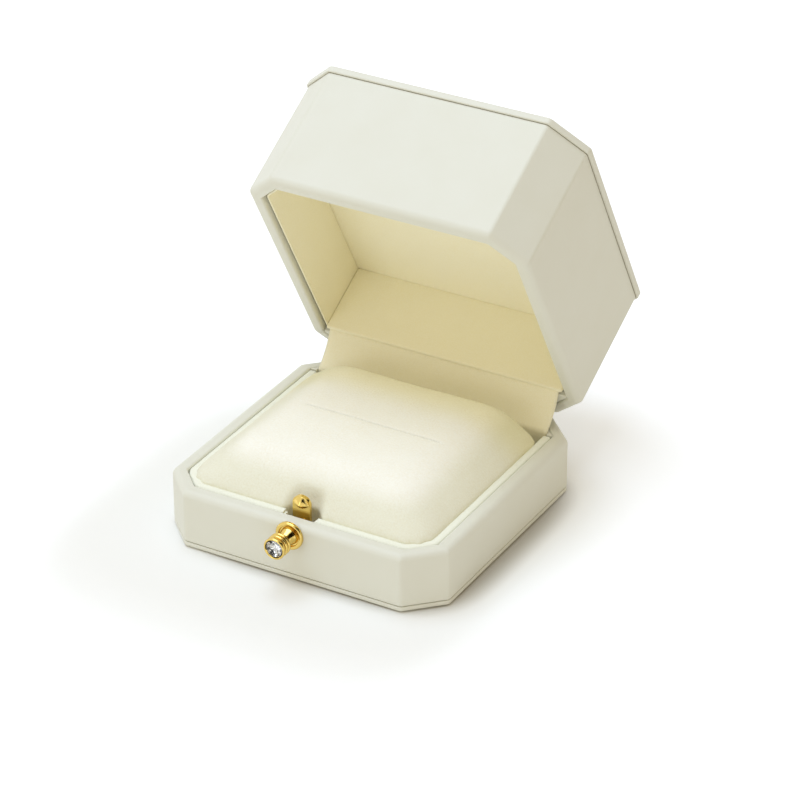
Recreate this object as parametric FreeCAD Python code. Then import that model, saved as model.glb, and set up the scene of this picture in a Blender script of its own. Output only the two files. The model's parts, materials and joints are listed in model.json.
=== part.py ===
import FreeCAD, Part
import math
import os

# Ring box: a small octagonal case with a sprung hinged lid and a push-button latch.
# Millimetres. +Z is up, the front faces -Y, +X is the right side seen from the front.
# The origin is on the ground, under the middle of the base.
# The lid is drawn closed and then turned back to the angle at which it rests open.

Vec = FreeCAD.Vector
x_axis = Vec(1, 0, 0)
y_axis = Vec(0, 1, 0)
z_axis = Vec(0, 0, 1)
corner_share = 2 - math.sqrt(2)  # how fast a 45 degree corner cut shrinks as its octagon is inset
quarter_turn = 90

# Case
case_width = 65.0
case_depth = 65.0
corner_cut = 7.2          # each corner is cut off this far along both of its sides
inner_corner_cut = 4.8    # the same cut along the inside of the rim
base_height = 13.2        # ground to the base's rim
lid_height = 29.9         # the lid's rim to its top
parting_gap = 0.1         # hairline between the two rims, lid closed
rest_angle = 60.4         # degrees that the lid stands open
shell_wall = 2.2
base_floor = 1.5
lid_roof = 1.5
skin = 0.5                # leatherette on the shells
turn_in = 6.0             # how far the leatherette is turned down inside the rim
rim_round = 1.5
rim_inner_round = 0.3
rim_edge_band = 0.001     # an edge this near the inside of the rim belongs to it
corner_round = 1.0
seam_gap = 0.1
seam_round = 0.3

# Boards that close the bottom and the top
base_board_thickness = 1.35
lid_board_thickness = 1.5
board_skin = 0.4
lid_board_overhang = 0.5
board_round = 0.3

# Collar inside the base's rim
collar_thickness = 2.0
collar_drop = 0.15        # its top edge lies this far below the rim
collar_rear_gap = 0.55    # its ends to the hinge flap
collar_round = 0.6
latch_notch = 6.6         # width of the gap between the two collar strips

# Pad that holds the ring
pad_clearance = 0.4
pad_rear_gap = 2.85       # pad to the hinge flap
pad_top = 20.0
pad_shoulder = 12.6       # height at which the pad's sides start to lean in
pad_slope = 12.0          # how far the sides lean in, up to the flat middle
pad_corner = 6.5
pad_steps = 6
pad_board_thickness = 0.8
suede = 0.6
slit_length = 32.6
slit_width = 0.8
slit_floor = 11.0
slit_offset = 2.7         # behind the middle of the pad
pocket_clearance = 0.7    # round the latch bracket, under the pad
hook_slot_clearance = 0.4

# Lining of the lid
liner_thickness = 0.85
liner_recess = 0.4        # the lining's edge lies this far inside the rim
liner_depth = 16.0
liner_rear_gap = 2.5      # front face of the rear lining panel, lid closed, to the hinge flap
ceiling_thickness = 0.8

# Hinge
hinge_inset = 0.25        # pin axis in front of the rear face
hinge_drop = 2.05         # pin axis below the base's rim
hinge_length = 26.0
hinge_pin_radius = 0.6
leaf_thickness = 0.8
leaf_length = 6.0         # leaf on the wall, beyond its bend
leaf_gap = 0.3            # half of the gap between the two leaves, lid closed
knuckle_wall = 0.5
knuckle_gap = 0.15
spring_bay = 4.2          # half of the gap in the knuckles that the spring fills
outer_knuckle = 4.0
notch_clearance = 0.4
running_clearance = 0.05
hinge_wire = 0.6
hinge_spring_turns = 6
hinge_spring_leg = 3.0
spring_clearance = 0.1
bend_swell = 1.06         # the wire is this much thicker where it bends
web_side_gap = 1.7        # flap's side edges to the inside of the rim
web_thickness = 0.5
web_gap = 3.75            # flap's front face, behind the pad, to the hinge leaves
web_tuck = 4.0            # how far its top runs up behind the lid's rear lining
web_foot = 0.8

# Push button, on an axis along Y
button_height = 10.6
button_travel = 1.0
bush_radius = 1.8
bush_lip = 0.25
bush_lip_radius = 2.4
flange_radius = 3.1
flange_thickness = 0.8
flange_round = 0.35
groove_depth = 0.35
groove_width = 0.3
neck_radius = 1.8
neck_end_radius = 1.45
neck_length = 1.0
stem_radius = 1.1
stem_flange_radius = 1.8
stem_flange_thickness = 0.3
stem_dome = 0.45
head_distance = 3.5       # wall to the back of the button's head
head_radius = 2.4
bead_length = 0.75
bead_gap = 0.2
bead_gap_radius = 1.95
bead_round = 0.3
bezel_length = 1.0
bezel_mouth_radius = 2.15
crystal_radius = 1.9
crystal_seat = 0.45
crystal_crown = 0.65
crystal_table_radius = 1.15
crystal_facets = 16

# Latch
hook_width = 4.0
hook_thickness = 0.8
hook_gap = 1.15           # its front face behind the rim's inner face
hook_rise = 4.1           # its top above the rim
hook_top_round = 1.2
nose_width = 2.6
nose_reach = 1.0
nose_height = 1.4
nose_under = 0.35
latch_pin_radius = 0.5
latch_pin_clearance = 0.3
bracket_thickness = 0.6
ear_clearance = 0.3
bracket_rear = 6.5
button_play = 0.1         # between the stem's tip and the hook
latch_wire = 0.35
latch_spring_turns = 3
latch_spring_leg = 3.2
latch_spring_rise = 0.6   # opening in the hook above its barrel, for the spring's leg
strike_thickness = 0.6
strike_half_width = 4.6
strike_height = 5.6
strike_clearance = 0.3

# Rivets
rivet_radius = 0.6
rivet_head_radius = 1.15
rivet_head = 0.45
small_rivet_radius = 0.35
small_rivet_head_radius = 0.65
small_rivet_head = 0.2
small_rivet_depth = 1.6
hinge_rivet_x = 9.0
hinge_rivet_edge = 2.6    # from the leaf's free edge
latch_rivet_x = 1.45

# Worked out from the values above
half_width = case_width / 2
half_depth = case_depth / 2
rim_width = skin + shell_wall + skin
shell_inside = skin + shell_wall
base_rim = base_height
lid_rim = base_height + parting_gap
lid_top = lid_rim + lid_height
floor_top = base_board_thickness + base_floor
roof_under = lid_top - lid_board_thickness - lid_roof
hinge_y = half_depth - hinge_inset
hinge_z = base_rim - hinge_drop
knuckle_radius = hinge_pin_radius + knuckle_wall
hinge_point = Vec(0, hinge_y, hinge_z)
notch_floor = hinge_z - knuckle_radius - notch_clearance
leaf_back = half_depth - rim_width
leaf_front = leaf_back - leaf_thickness
front_wall = -half_depth
hook_front = front_wall + rim_width + hook_gap
barrel_radius = latch_pin_radius + running_clearance + hook_thickness
latch_y = hook_front + barrel_radius
latch_z = floor_top + bracket_thickness + latch_pin_clearance + barrel_radius
hook_top = base_rim + hook_rise
web_y = leaf_front - web_gap
web_half_width = half_width - rim_width - web_side_gap
collar_rear = web_y - collar_rear_gap
liner_rear = web_y - liner_rear_gap
liner_low = lid_rim + liner_recess
ceiling_z = liner_low + liner_depth
collar_inset = rim_width + collar_thickness
pad_half_width = half_width - collar_inset - pad_clearance
pad_front = -half_depth + collar_inset + pad_clearance
pad_rear = web_y - pad_rear_gap
slit_y = (pad_front + pad_rear) / 2 + slit_offset
pad_floor = floor_top + pad_board_thickness
bracket_half_width = hook_width / 2 + ear_clearance + bracket_thickness
bracket_back = latch_y + bracket_rear
lid_turned = -rest_angle
latch_coil_turns = latch_spring_turns + 1 / 4  # from its foremost point round to its lowest
far = 4 * case_width      # longer than anything here, for cuts that run right through


def outer_cut(inset):
    return corner_cut - inset * corner_share


def inner_cut(inset):
    return inner_corner_cut - (inset - rim_width) * corner_share


def octagon_prism(inset, cut, low, high):
    x = half_width - inset
    y = half_depth - inset
    right = [Vec(x - cut, -y, low), Vec(x, cut - y, low), Vec(x, y - cut, low), Vec(x - cut, y, low)]
    left = [Vec(-point.x, point.y, low) for point in reversed(right)]
    outline = Part.makePolygon(right + left + right[:1])
    return Part.Face(outline).extrude(z_axis * (high - low))


def block(x_low, x_high, y_low, y_high, z_low, z_high):
    return Part.makeBox(x_high - x_low, y_high - y_low, z_high - z_low, Vec(x_low, y_low, z_low))


def rounded(solid, radius, chosen):
    return solid.makeFillet(radius, [edge for edge in solid.Edges if chosen(edge)])


def same(first, second):
    return abs(first - second) < 1e-4


def upright(edge):
    first, last = edge.Vertexes[0].Point, edge.Vertexes[-1].Point
    return same(first.x, last.x) and same(first.y, last.y) and not same(first.z, last.z)


def at_level(level):
    return lambda edge: all(same(vertex.Z, level) for vertex in edge.Vertexes)


def x_cylinder(radius, x_low, x_high, y, z):
    return Part.makeCylinder(radius, x_high - x_low, Vec(x_low, y, z), x_axis)


def y_cylinder(radius, y_low, y_high, x, z):
    return Part.makeCylinder(radius, y_high - y_low, Vec(x, y_low, z), y_axis)


def profile_along_x(points, x_low, x_high):
    # points are (y, z) pairs round an outline
    outline = Part.makePolygon([Vec(x_low, y, z) for y, z in points + points[:1]])
    return Part.Face(outline).extrude(x_axis * (x_high - x_low))


def turned_on_button_axis(points):
    # points are (distance in front of the wall, radius) pairs round a half section
    corners = [Vec(0, front_wall - distance, button_height + radius) for distance, radius in points]
    section = Part.Face(Part.makePolygon(corners + corners[:1]))
    return section.revolve(Vec(0, 0, button_height), y_axis, 360)


def open_lid(shape):
    turned = shape.copy()
    turned.rotate(hinge_point, x_axis, lid_turned)
    return turned


# Case halves: drawn as an open tray with its rim at base_rim, turned over for the lid

def tray(depth, plate, foot):
    # the moulded shell, foot is the height of its underside
    outside = octagon_prism(skin, outer_cut(skin), foot, base_rim - skin)
    outside = rounded(outside, corner_round - skin, upright)
    outside = rounded(outside, rim_round - skin, at_level(base_rim - skin))
    hollow = octagon_prism(shell_inside, inner_cut(shell_inside), foot + plate, base_rim)
    return outside.cut(hollow)


def tray_skin(shell, foot):
    # leatherette over the walls, round the rim and down inside it
    outside = octagon_prism(0, outer_cut(0), foot + seam_gap, base_rim)
    outside = rounded(outside, corner_round, upright)
    outside = rounded(outside, rim_round, at_level(base_rim))
    outside = rounded(outside, seam_round, at_level(foot + seam_gap))
    mouth = octagon_prism(rim_width, inner_cut(rim_width), base_rim - turn_in, base_rim + rim_width)
    below = octagon_prism(shell_inside, inner_cut(shell_inside), foot, base_rim - turn_in)
    wrap = outside.cut([shell, mouth, below])
    x_limit = half_width - rim_width + rim_edge_band
    y_limit = half_depth - rim_width + rim_edge_band

    def on_inner_lip(edge):
        x, y = edge.CenterOfMass.x, edge.CenterOfMass.y
        return abs(x) < x_limit and abs(y) < y_limit and at_level(base_rim)(edge)
    return rounded(wrap, rim_inner_round, on_inner_lip)


def turned_over(shape):
    over = shape.copy()
    over.rotate(Vec(0, 0, base_rim), x_axis, 180)
    over.translate(z_axis * parting_gap)
    return over


def hinge_notch():
    half = hinge_length / 2 + notch_clearance
    return block(-half, half, leaf_back, half_depth + far, notch_floor, base_rim + far)


def bush_hole():
    return y_cylinder(bush_radius, front_wall - far, front_wall + rim_width, 0, button_height)


def build_case():
    base_shell = tray(base_height, base_floor, base_board_thickness)
    base_skin = tray_skin(base_shell, base_board_thickness)
    lid_foot = base_rim - lid_height + lid_board_thickness
    lid_shell = tray(lid_height, lid_roof, lid_foot)
    lid_skin = tray_skin(lid_shell, lid_foot)
    floor_holes = [rivet.shank for rivet in latch_rivets_list()]
    rear_holes = [rivet.shank for rivet in hinge_rivets_list(base_leaf_edge(), 1)]
    base_shell = base_shell.cut([hinge_notch(), bush_hole()] + floor_holes + rear_holes)
    base_skin = base_skin.cut([hinge_notch(), bush_hole()] + rear_holes)
    lid_holes = [rivet.shank for rivet in hinge_rivets_list(lid_leaf_edge(), -1)]
    lid_holes += [rivet.shank for rivet in strike_rivets_list()]
    return {
        "base_shell": base_shell,
        "base_leatherette": base_skin,
        "lid_shell": turned_over(lid_shell).cut(lid_holes),
        "lid_leatherette": turned_over(lid_skin).cut(lid_holes),
    }


def wrapped_board(low, high, overhang, open_side_up):
    # a card board in a leatherette cup, its open side glued to the shell
    outside = octagon_prism(-overhang, outer_cut(-overhang), low, high)
    outside = rounded(outside, corner_round, upright)
    outside = rounded(outside, board_round, at_level(low if open_side_up else high))
    core_low = low + board_skin if open_side_up else low
    core_high = high if open_side_up else high - board_skin
    core_inset = board_skin - overhang
    core = octagon_prism(core_inset, outer_cut(core_inset), core_low, core_high)
    core = rounded(core, corner_round - board_skin, upright)
    return core, outside.cut(core)


def build_boards():
    base_board, base_cover = wrapped_board(0, base_board_thickness, 0, True)
    lid_low = lid_top - lid_board_thickness
    lid_board, lid_cover = wrapped_board(lid_low, lid_top, lid_board_overhang, False)
    return {
        "bottom_board": base_board,
        "bottom_board_leatherette": base_cover,
        "top_board": lid_board,
        "top_board_leatherette": lid_cover,
    }


# Rivets: each has a shank through what it holds, and a round head

class Rivet:
    def __init__(self, shank, head):
        self.shank = shank
        self.solid = shank.fuse(head)


def wall_rivet(x, z, seat, far_end, radius, head_radius, head):
    # along Y, its head sits on the face at seat and its shank ends at far_end
    away = 1 if seat > far_end else -1
    shank_low = min(seat, far_end)
    shank = y_cylinder(radius, shank_low, max(seat, far_end), x, z)
    head_low = seat if away > 0 else seat - head
    return Rivet(shank, y_cylinder(head_radius, head_low, head_low + head, x, z))


def base_leaf_edge():
    return hinge_z - leaf_gap - leaf_thickness - leaf_length


def lid_leaf_edge():
    return hinge_z + leaf_gap + leaf_thickness + leaf_length


def hinge_rivets_list(edge, towards):
    z = edge + towards * hinge_rivet_edge
    outer_end = half_depth - skin
    return [wall_rivet(x, z, leaf_front, outer_end, rivet_radius, rivet_head_radius, rivet_head)
            for x in (-hinge_rivet_x, hinge_rivet_x)]


def latch_rivets_list():
    seat = floor_top + bracket_thickness
    y = bracket_back - rivet_head_radius - bracket_thickness
    rivets = []
    for x in (-latch_rivet_x, latch_rivet_x):
        shank = Part.makeCylinder(rivet_radius, seat - base_board_thickness, Vec(x, y, base_board_thickness))
        head = Part.makeCylinder(rivet_head_radius, rivet_head, Vec(x, y, seat))
        rivets.append(Rivet(shank, head))
    return rivets


def strike_rivets_list():
    seat = front_wall + rim_width + strike_thickness
    x = (strike_half_width + slot_half_width()) / 2
    return [wall_rivet(side * x, strike_middle(), seat, seat - small_rivet_depth,
                       small_rivet_radius, small_rivet_head_radius, small_rivet_head)
            for side in (-1, 1)]


# Collar: two strips that start at the latch and follow the rim round to the rear

def build_collar():
    high = base_rim - collar_drop
    ring = octagon_prism(rim_width, inner_cut(rim_width), floor_top, high)
    ring = ring.cut(octagon_prism(collar_inset, inner_cut(collar_inset), floor_top, high))
    right = ring.common(block(latch_notch / 2, half_width, -half_depth, collar_rear, 0, base_rim))
    right = rounded(right, collar_round, lambda edge: at_level(high)(edge) and collar_end(edge))
    left = right.mirror(Vec(0, 0, 0), x_axis)
    return {"collar_left": left, "collar_right": right}


def collar_end(edge):
    ends = [vertex.Point for vertex in edge.Vertexes]
    at_latch = all(same(point.x, latch_notch / 2) for point in ends)
    at_rear = all(same(point.y, collar_rear) for point in ends)
    return at_latch or at_rear


# Pad: a suede-covered foam block on a card, with one slit for the ring

def pad_outline(inset, z):
    x = pad_half_width - inset
    front = pad_front + inset
    rear = pad_rear - inset
    r = pad_corner
    diagonal = r * (1 - math.sqrt(0.5))
    lines = [Part.LineSegment(Vec(r - x, front, z), Vec(x - r, front, z)),
             Part.LineSegment(Vec(x, front + r, z), Vec(x, rear - r, z)),
             Part.LineSegment(Vec(x - r, rear, z), Vec(r - x, rear, z)),
             Part.LineSegment(Vec(-x, rear - r, z), Vec(-x, front + r, z))]
    middles = [Vec(x - diagonal, front + diagonal, z), Vec(x - diagonal, rear - diagonal, z),
               Vec(diagonal - x, rear - diagonal, z), Vec(diagonal - x, front + diagonal, z)]
    edges = []
    for number, line in enumerate(lines):
        following = lines[(number + 1) % 4]
        edges.append(line.toShape())
        edges.append(Part.Arc(line.EndPoint, middles[number], following.StartPoint).toShape())
    return Part.Wire(edges)


def pad_body(inset, low):
    # upright sides up to the shoulder, then a slope that flattens out towards the middle
    sides = Part.Face(pad_outline(inset, low)).extrude(z_axis * (pad_shoulder - low))
    rise = pad_top - inset - pad_shoulder
    levels = []
    for step in range(pad_steps + 1):
        share = step / pad_steps
        levels.append(pad_outline(inset + pad_slope * share, pad_shoulder + rise * (1 - (1 - share) ** 2)))
    return sides.fuse(Part.makeLoft(levels, True, True)).removeSplitter()


def pad_pockets():
    bracket = block(-bracket_half_width - pocket_clearance, bracket_half_width + pocket_clearance,
                    pad_front - pad_clearance, bracket_back + pocket_clearance,
                    0, latch_z + barrel_radius + pocket_clearance)
    hook = block(-hook_width / 2 - hook_slot_clearance, hook_width / 2 + hook_slot_clearance,
                 pad_front - pad_clearance, hook_pressed_back() + hook_slot_clearance,
                 0, pad_top + pad_slope)
    return [bracket, hook]


def hook_pressed_back():
    # how far back the top of the hook's rear face comes
    swing = button_travel / (button_height - latch_z)
    return hook_front + hook_thickness + swing * (hook_top - latch_z)


def slit(extra, low):
    half = slit_width / 2 + extra
    end = slit_length / 2 + extra
    return block(-end, end, slit_y - half, slit_y + half, low, pad_top + pad_slope)


def build_pad():
    foam = pad_body(suede, pad_floor).cut(slit(suede, slit_floor - suede))
    cover = pad_body(0, pad_floor).cut(foam).cut(slit(0, slit_floor))
    card = Part.Face(pad_outline(suede, floor_top)).extrude(z_axis * pad_board_thickness)
    return {
        "pad_card": card.cut(pad_pockets()),
        "pad_foam": foam.cut(pad_pockets()),
        "pad_suede": cover.cut(pad_pockets()),
    }


# Lining of the lid

def strike_window():
    return block(-strike_half_width, strike_half_width, front_wall, front_wall + rim_width + liner_thickness,
                 lid_rim, liner_low + strike_height)


def build_lid_lining():
    inset = rim_width + liner_thickness
    rear = liner_rear + liner_thickness
    band = octagon_prism(rim_width, inner_cut(rim_width), liner_low, ceiling_z)
    band = band.cut(octagon_prism(inset, inner_cut(inset), liner_low, ceiling_z))
    band = band.common(block(-half_width, half_width, -half_depth, rear, 0, lid_top))
    x = half_width - inset
    ceiling = octagon_prism(rim_width, inner_cut(rim_width), ceiling_z, ceiling_z + ceiling_thickness)
    ceiling = ceiling.common(block(-half_width, half_width, -half_depth, rear, 0, lid_top))
    foam = octagon_prism(shell_inside, inner_cut(shell_inside), ceiling_z + ceiling_thickness, roof_under)
    return {
        "lid_lining_band": band.cut(strike_window()),
        "lid_lining_rear": block(-x, x, liner_rear, rear, liner_low, ceiling_z),
        "lid_lining_ceiling": ceiling,
        "lid_filler_foam": foam,
    }


# Hinge: two bent leaves with interleaved knuckles, a pin, a torsion spring and rivets

def knuckle_spans():
    # (start, end, on the base) of each knuckle on the right, mirrored on the left
    inner_end = hinge_length / 2 - outer_knuckle
    return [(spring_bay, inner_end - knuckle_gap, False), (inner_end, hinge_length / 2, True)]


def leaf(on_base):
    # drawn for the closed lid, the lid's leaf is the base's leaf turned over
    top = hinge_z - leaf_gap
    half = hinge_length / 2
    plate = block(-half, half, leaf_front, leaf_back, top - leaf_thickness - leaf_length, top)
    bend_end = hinge_y - knuckle_radius - notch_clearance
    shelf = block(-half, half, leaf_front, bend_end, top - leaf_thickness, top)
    bay = block(-spring_bay, spring_bay, leaf_front, hinge_y, notch_floor, hinge_z)
    solid = plate.fuse(shelf).cut(bay)
    bore = hinge_pin_radius if on_base else hinge_pin_radius + running_clearance
    for start, end, knuckle_on_base in knuckle_spans():
        if knuckle_on_base != on_base:
            continue
        for low, high in ((start, end), (-end, -start)):
            tab = block(low, high, bend_end, hinge_y, hinge_z - knuckle_radius, hinge_z - leaf_gap)
            knuckle = x_cylinder(knuckle_radius, low, high, hinge_y, hinge_z)
            solid = solid.fuse([tab, knuckle])
    solid = solid.cut(x_cylinder(bore, -half, half, hinge_y, hinge_z)).removeSplitter()
    if not on_base:
        solid = solid.mirror(hinge_point, z_axis)
    return solid


def torsion_spring(wire, radius, turns, start_x, start_angle):
    # a coil round the X axis, its angle counted from its lowest point towards the rear
    pitch = wire + spring_clearance
    path = Part.makeHelix(pitch, pitch * turns, radius)
    ring = Part.Wire(Part.makeCircle(wire / 2, Vec(radius, 0, 0), y_axis))
    coil = Part.Wire(path.Edges).makePipeShell([ring], True, True)
    coil.rotate(Vec(0, 0, 0), y_axis, 90)
    coil.rotate(Vec(0, 0, 0), x_axis, start_angle)
    coil.translate(x_axis * start_x)
    return coil


def bent_leg(wire, x, points):
    # round wire through the (y, z) points, with a slightly thicker ball at each bend
    pieces = []
    for first, last in zip(points, points[1:]):
        start = Vec(x, first[0], first[1])
        run = Vec(x, last[0], last[1]) - start
        pieces.append(Part.makeCylinder(wire / 2, run.Length, start, run))
        pieces.append(Part.makeSphere(bend_swell * wire / 2, start))
    return pieces


def build_hinge_spring():
    # drawn round the origin and then moved onto the pin
    radius = hinge_pin_radius + spring_clearance + hinge_wire / 2
    turns = hinge_spring_turns + (2 * quarter_turn - rest_angle) / (4 * quarter_turn)
    end = (hinge_wire + spring_clearance) * turns / 2
    spring = torsion_spring(hinge_wire, radius, turns, -end, 0)
    inside = hinge_inset - rim_width - leaf_thickness - spring_clearance - hinge_wire / 2
    leg_end = radius + hinge_spring_leg
    base_leg = bent_leg(hinge_wire, -end, [(0, -radius), (inside, -radius), (inside, -leg_end)])
    lid_leg = bent_leg(hinge_wire, end, [(0, radius), (inside, radius), (inside, leg_end)])
    for piece in lid_leg:
        piece.rotate(Vec(0, 0, 0), x_axis, lid_turned)
    spring = spring.fuse(base_leg + lid_leg)
    spring.translate(hinge_point)
    return spring


def build_web():
    # flap of lining that hides the hinge: behind the lid's rear lining, then down behind the pad
    behind = liner_rear + liner_thickness + seam_gap
    upper = open_lid(Part.Vertex(Vec(0, behind, liner_low + web_tuck))).Point
    fold = open_lid(Part.Vertex(Vec(0, behind, liner_low))).Point
    back_up = open_lid(Part.Vertex(Vec(0, behind + web_thickness, liner_low + web_tuck))).Point
    back_fold = open_lid(Part.Vertex(Vec(0, behind + web_thickness, liner_low))).Point
    low = floor_top
    front_line = [(upper.y, upper.z), (fold.y, fold.z), (web_y, base_rim), (web_y, low)]
    back_line = [(web_y + web_thickness, low), (web_y + web_thickness, base_rim),
                 (back_fold.y, back_fold.z), (back_up.y, back_up.z)]
    flap = profile_along_x(front_line + back_line, -web_half_width, web_half_width)
    foot = block(-web_half_width + pad_corner, web_half_width - pad_corner, web_y + web_thickness,
                 leaf_front - hinge_wire - web_foot, floor_top, floor_top + web_thickness)
    return flap.fuse(foot).removeSplitter()


def build_hinge():
    half = hinge_length / 2
    base_rivets = hinge_rivets_list(base_leaf_edge(), 1)
    base_leaf = leaf(True).cut([rivet.shank for rivet in base_rivets])
    return {
        "hinge_leaf_base": base_leaf,
        "hinge_pin": x_cylinder(hinge_pin_radius, -half, half, hinge_y, hinge_z),
        "hinge_spring": build_hinge_spring(),
        "hinge_rivets_base": Part.makeCompound([rivet.solid for rivet in base_rivets]),
        "hinge_flap": build_web(),
    }


def build_lid_hinge():
    lid_rivets = hinge_rivets_list(lid_leaf_edge(), -1)
    lid_leaf = leaf(False).cut([rivet.shank for rivet in lid_rivets])
    return {
        "hinge_leaf_lid": lid_leaf,
        "hinge_rivets_lid": Part.makeCompound([rivet.solid for rivet in lid_rivets]),
    }


# Push button: bush in the wall, stem, head and crystal

def build_button():
    flange_end = flange_thickness
    groove_outer = neck_radius + groove_width
    bush = turned_on_button_axis([
        (0, stem_radius + running_clearance), (0, flange_radius), (flange_end, flange_radius),
        (flange_end, groove_outer), (flange_end - groove_depth, groove_outer),
        (flange_end - groove_depth, neck_radius), (flange_end, neck_radius),
        (flange_end + neck_length, neck_end_radius),
        (flange_end + neck_length, stem_radius + running_clearance)])
    front_face = front_wall - flange_end

    def on_flange_rim(edge):
        across = edge.BoundBox.XLength
        return same(edge.BoundBox.YMin, front_face) and across > 2 * flange_radius - flange_round
    bush = rounded(bush, flange_round, on_flange_rim)
    inner_face = front_wall + rim_width
    sleeve = y_cylinder(bush_radius, front_wall, inner_face, 0, button_height)
    lip = y_cylinder(bush_lip_radius, inner_face, inner_face + bush_lip, 0, button_height)
    bore = y_cylinder(stem_radius + running_clearance, front_wall - far, inner_face + far, 0, button_height)
    bush = bush.fuse([sleeve, lip]).cut(bore).removeSplitter()

    tip = hook_front - button_play
    flange_back = tip - stem_dome
    head_back = front_wall - head_distance
    beads_end = head_back - 2 * (bead_length + bead_gap)
    stem_front = beads_end + bead_gap
    dome_radius = (stem_radius ** 2 + stem_dome ** 2) / (2 * stem_dome)
    stem = y_cylinder(stem_radius, stem_front, flange_back, 0, button_height)
    stop = y_cylinder(stem_flange_radius, flange_back - stem_flange_thickness, flange_back, 0, button_height)
    dome = Part.makeSphere(dome_radius, Vec(0, tip - dome_radius, button_height))
    dome = dome.common(y_cylinder(stem_radius, flange_back, tip, 0, button_height))
    stem = stem.fuse([stop, dome]).removeSplitter()

    return {"button_bush": bush}, {
        "button_stem": stem,
        "button_head": button_head(),
        "button_crystal": button_crystal(),
    }


def bezel_front():
    return head_distance + 2 * (bead_length + bead_gap) + bezel_length


def button_head():
    solid = None
    for number in range(2):
        back = head_distance + number * (bead_length + bead_gap)
        bead = turned_on_button_axis([(back, 0), (back, head_radius), (back + bead_length, head_radius),
                                      (back + bead_length, 0)])
        bead = rounded(bead, bead_round, lambda edge: edge.Curve.TypeId == "Part::GeomCircle")
        gap = turned_on_button_axis([(back + bead_length - bead_round, 0),
                                     (back + bead_length - bead_round, bead_gap_radius),
                                     (back + bead_length + bead_gap + bead_round, bead_gap_radius),
                                     (back + bead_length + bead_gap + bead_round, 0)])
        solid = bead.fuse(gap) if solid is None else solid.fuse([bead, gap])
    back = head_distance + 2 * (bead_length + bead_gap)
    front = bezel_front()
    bezel = turned_on_button_axis([(back, 0), (back, head_radius), (front - bead_round, head_radius),
                                   (front, bezel_mouth_radius), (front, crystal_radius),
                                   (front - crystal_seat, crystal_radius), (front - crystal_seat, 0)])
    socket = y_cylinder(stem_radius, front_wall - back, front_wall, 0, button_height)
    return solid.fuse(bezel).cut(socket).removeSplitter()


def button_crystal():
    # many-sided stone: a straight girdle in the bezel, and a crown that slopes in to a flat table
    seat = bezel_front() - crystal_seat
    distances = [seat, bezel_front(), bezel_front() + crystal_crown]
    radii = [crystal_radius, crystal_radius, crystal_table_radius]
    rings = []
    for distance, radius in zip(distances, radii):
        corners = []
        for number in range(crystal_facets):
            turn = 2 * math.pi * number / crystal_facets
            corners.append(Vec(radius * math.sin(turn), front_wall - distance,
                               button_height + radius * math.cos(turn)))
        rings.append(Part.makePolygon(corners + corners[:1]))
    return Part.makeLoft(rings, True, True)


# Latch: a hook on a pin in a small bracket, pushed back by the button's stem

def build_hook():
    half = hook_width / 2
    plate = block(-half, half, hook_front, hook_front + hook_thickness, latch_z, hook_top)

    def top_corner(edge):
        along_y = same(edge.BoundBox.XLength, 0) and same(edge.BoundBox.ZLength, 0)
        return along_y and same(edge.Vertexes[0].Z, hook_top)
    plate = rounded(plate, hook_top_round, top_corner)
    low = hook_top - nose_height
    tip = hook_front - nose_reach
    nose = profile_along_x([(hook_front, hook_top), (tip + nose_under, hook_top - nose_under),
                            (tip, hook_top - 2 * nose_under), (tip, low + nose_under), (hook_front, low)],
                           -nose_width / 2, nose_width / 2)
    barrel = x_cylinder(barrel_radius, -half, half, latch_y, latch_z)
    hook = plate.fuse([nose, barrel])
    hook = hook.cut(x_cylinder(latch_pin_radius + running_clearance, -half, half, latch_y, latch_z))
    bay = latch_spring_end() + latch_wire
    return hook.cut(block(-bay, bay, hook_front, latch_y + barrel_radius,
                          latch_z - barrel_radius, latch_z + barrel_radius + latch_spring_rise))


def latch_spring_end():
    # half of the coil's length along its pin
    return (latch_wire + spring_clearance) * latch_coil_turns / 2


def build_bracket():
    half = bracket_half_width
    front = latch_y - barrel_radius
    plate = block(-half, half, front, bracket_back, floor_top, floor_top + bracket_thickness)
    ear_top = latch_z + barrel_radius
    ears = [block(low, low + bracket_thickness, front, latch_y + barrel_radius, floor_top, ear_top)
            for low in (-half, half - bracket_thickness)]
    bracket = plate.fuse(ears)
    bracket = bracket.cut(x_cylinder(latch_pin_radius, -half, half, latch_y, latch_z))
    return bracket.cut([rivet.shank for rivet in latch_rivets_list()]).removeSplitter()


def build_latch_spring():
    # drawn round the origin and then moved onto the pin
    radius = latch_pin_radius + spring_clearance + latch_wire / 2
    end = latch_spring_end()
    spring = torsion_spring(latch_wire, radius, latch_coil_turns, -end, -quarter_turn)
    inside = hook_thickness - barrel_radius + spring_clearance + latch_wire / 2
    on_floor = spring_clearance + latch_wire / 2 - barrel_radius - latch_pin_clearance
    bend = barrel_radius + latch_spring_rise
    up_leg = bent_leg(latch_wire, -end, [(-radius, 0), (-radius, radius + latch_wire / 2),
                                         (inside, bend), (inside, bend + latch_spring_leg)])
    floor_leg = bent_leg(latch_wire, end,
                         [(0, -radius), (radius, on_floor), (latch_spring_leg, on_floor)])
    spring = spring.fuse(up_leg + floor_leg)
    spring.translate(Vec(0, latch_y, latch_z))
    return spring


def slot_half_width():
    return nose_width / 2 + strike_clearance


def strike_middle():
    return hook_top - nose_height / 2


def build_strike():
    inner_face = front_wall + rim_width
    plate = block(-strike_half_width, strike_half_width, inner_face, inner_face + strike_thickness,
                  liner_low, liner_low + strike_height)
    slot = block(-slot_half_width(), slot_half_width(), inner_face, inner_face + strike_thickness,
                 hook_top - nose_height - strike_clearance, hook_top + strike_clearance)
    rivets = strike_rivets_list()
    return {
        "strike_plate": plate.cut(slot).cut([rivet.shank for rivet in rivets]),
        "strike_rivets": Part.makeCompound([rivet.solid for rivet in rivets]),
    }


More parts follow.
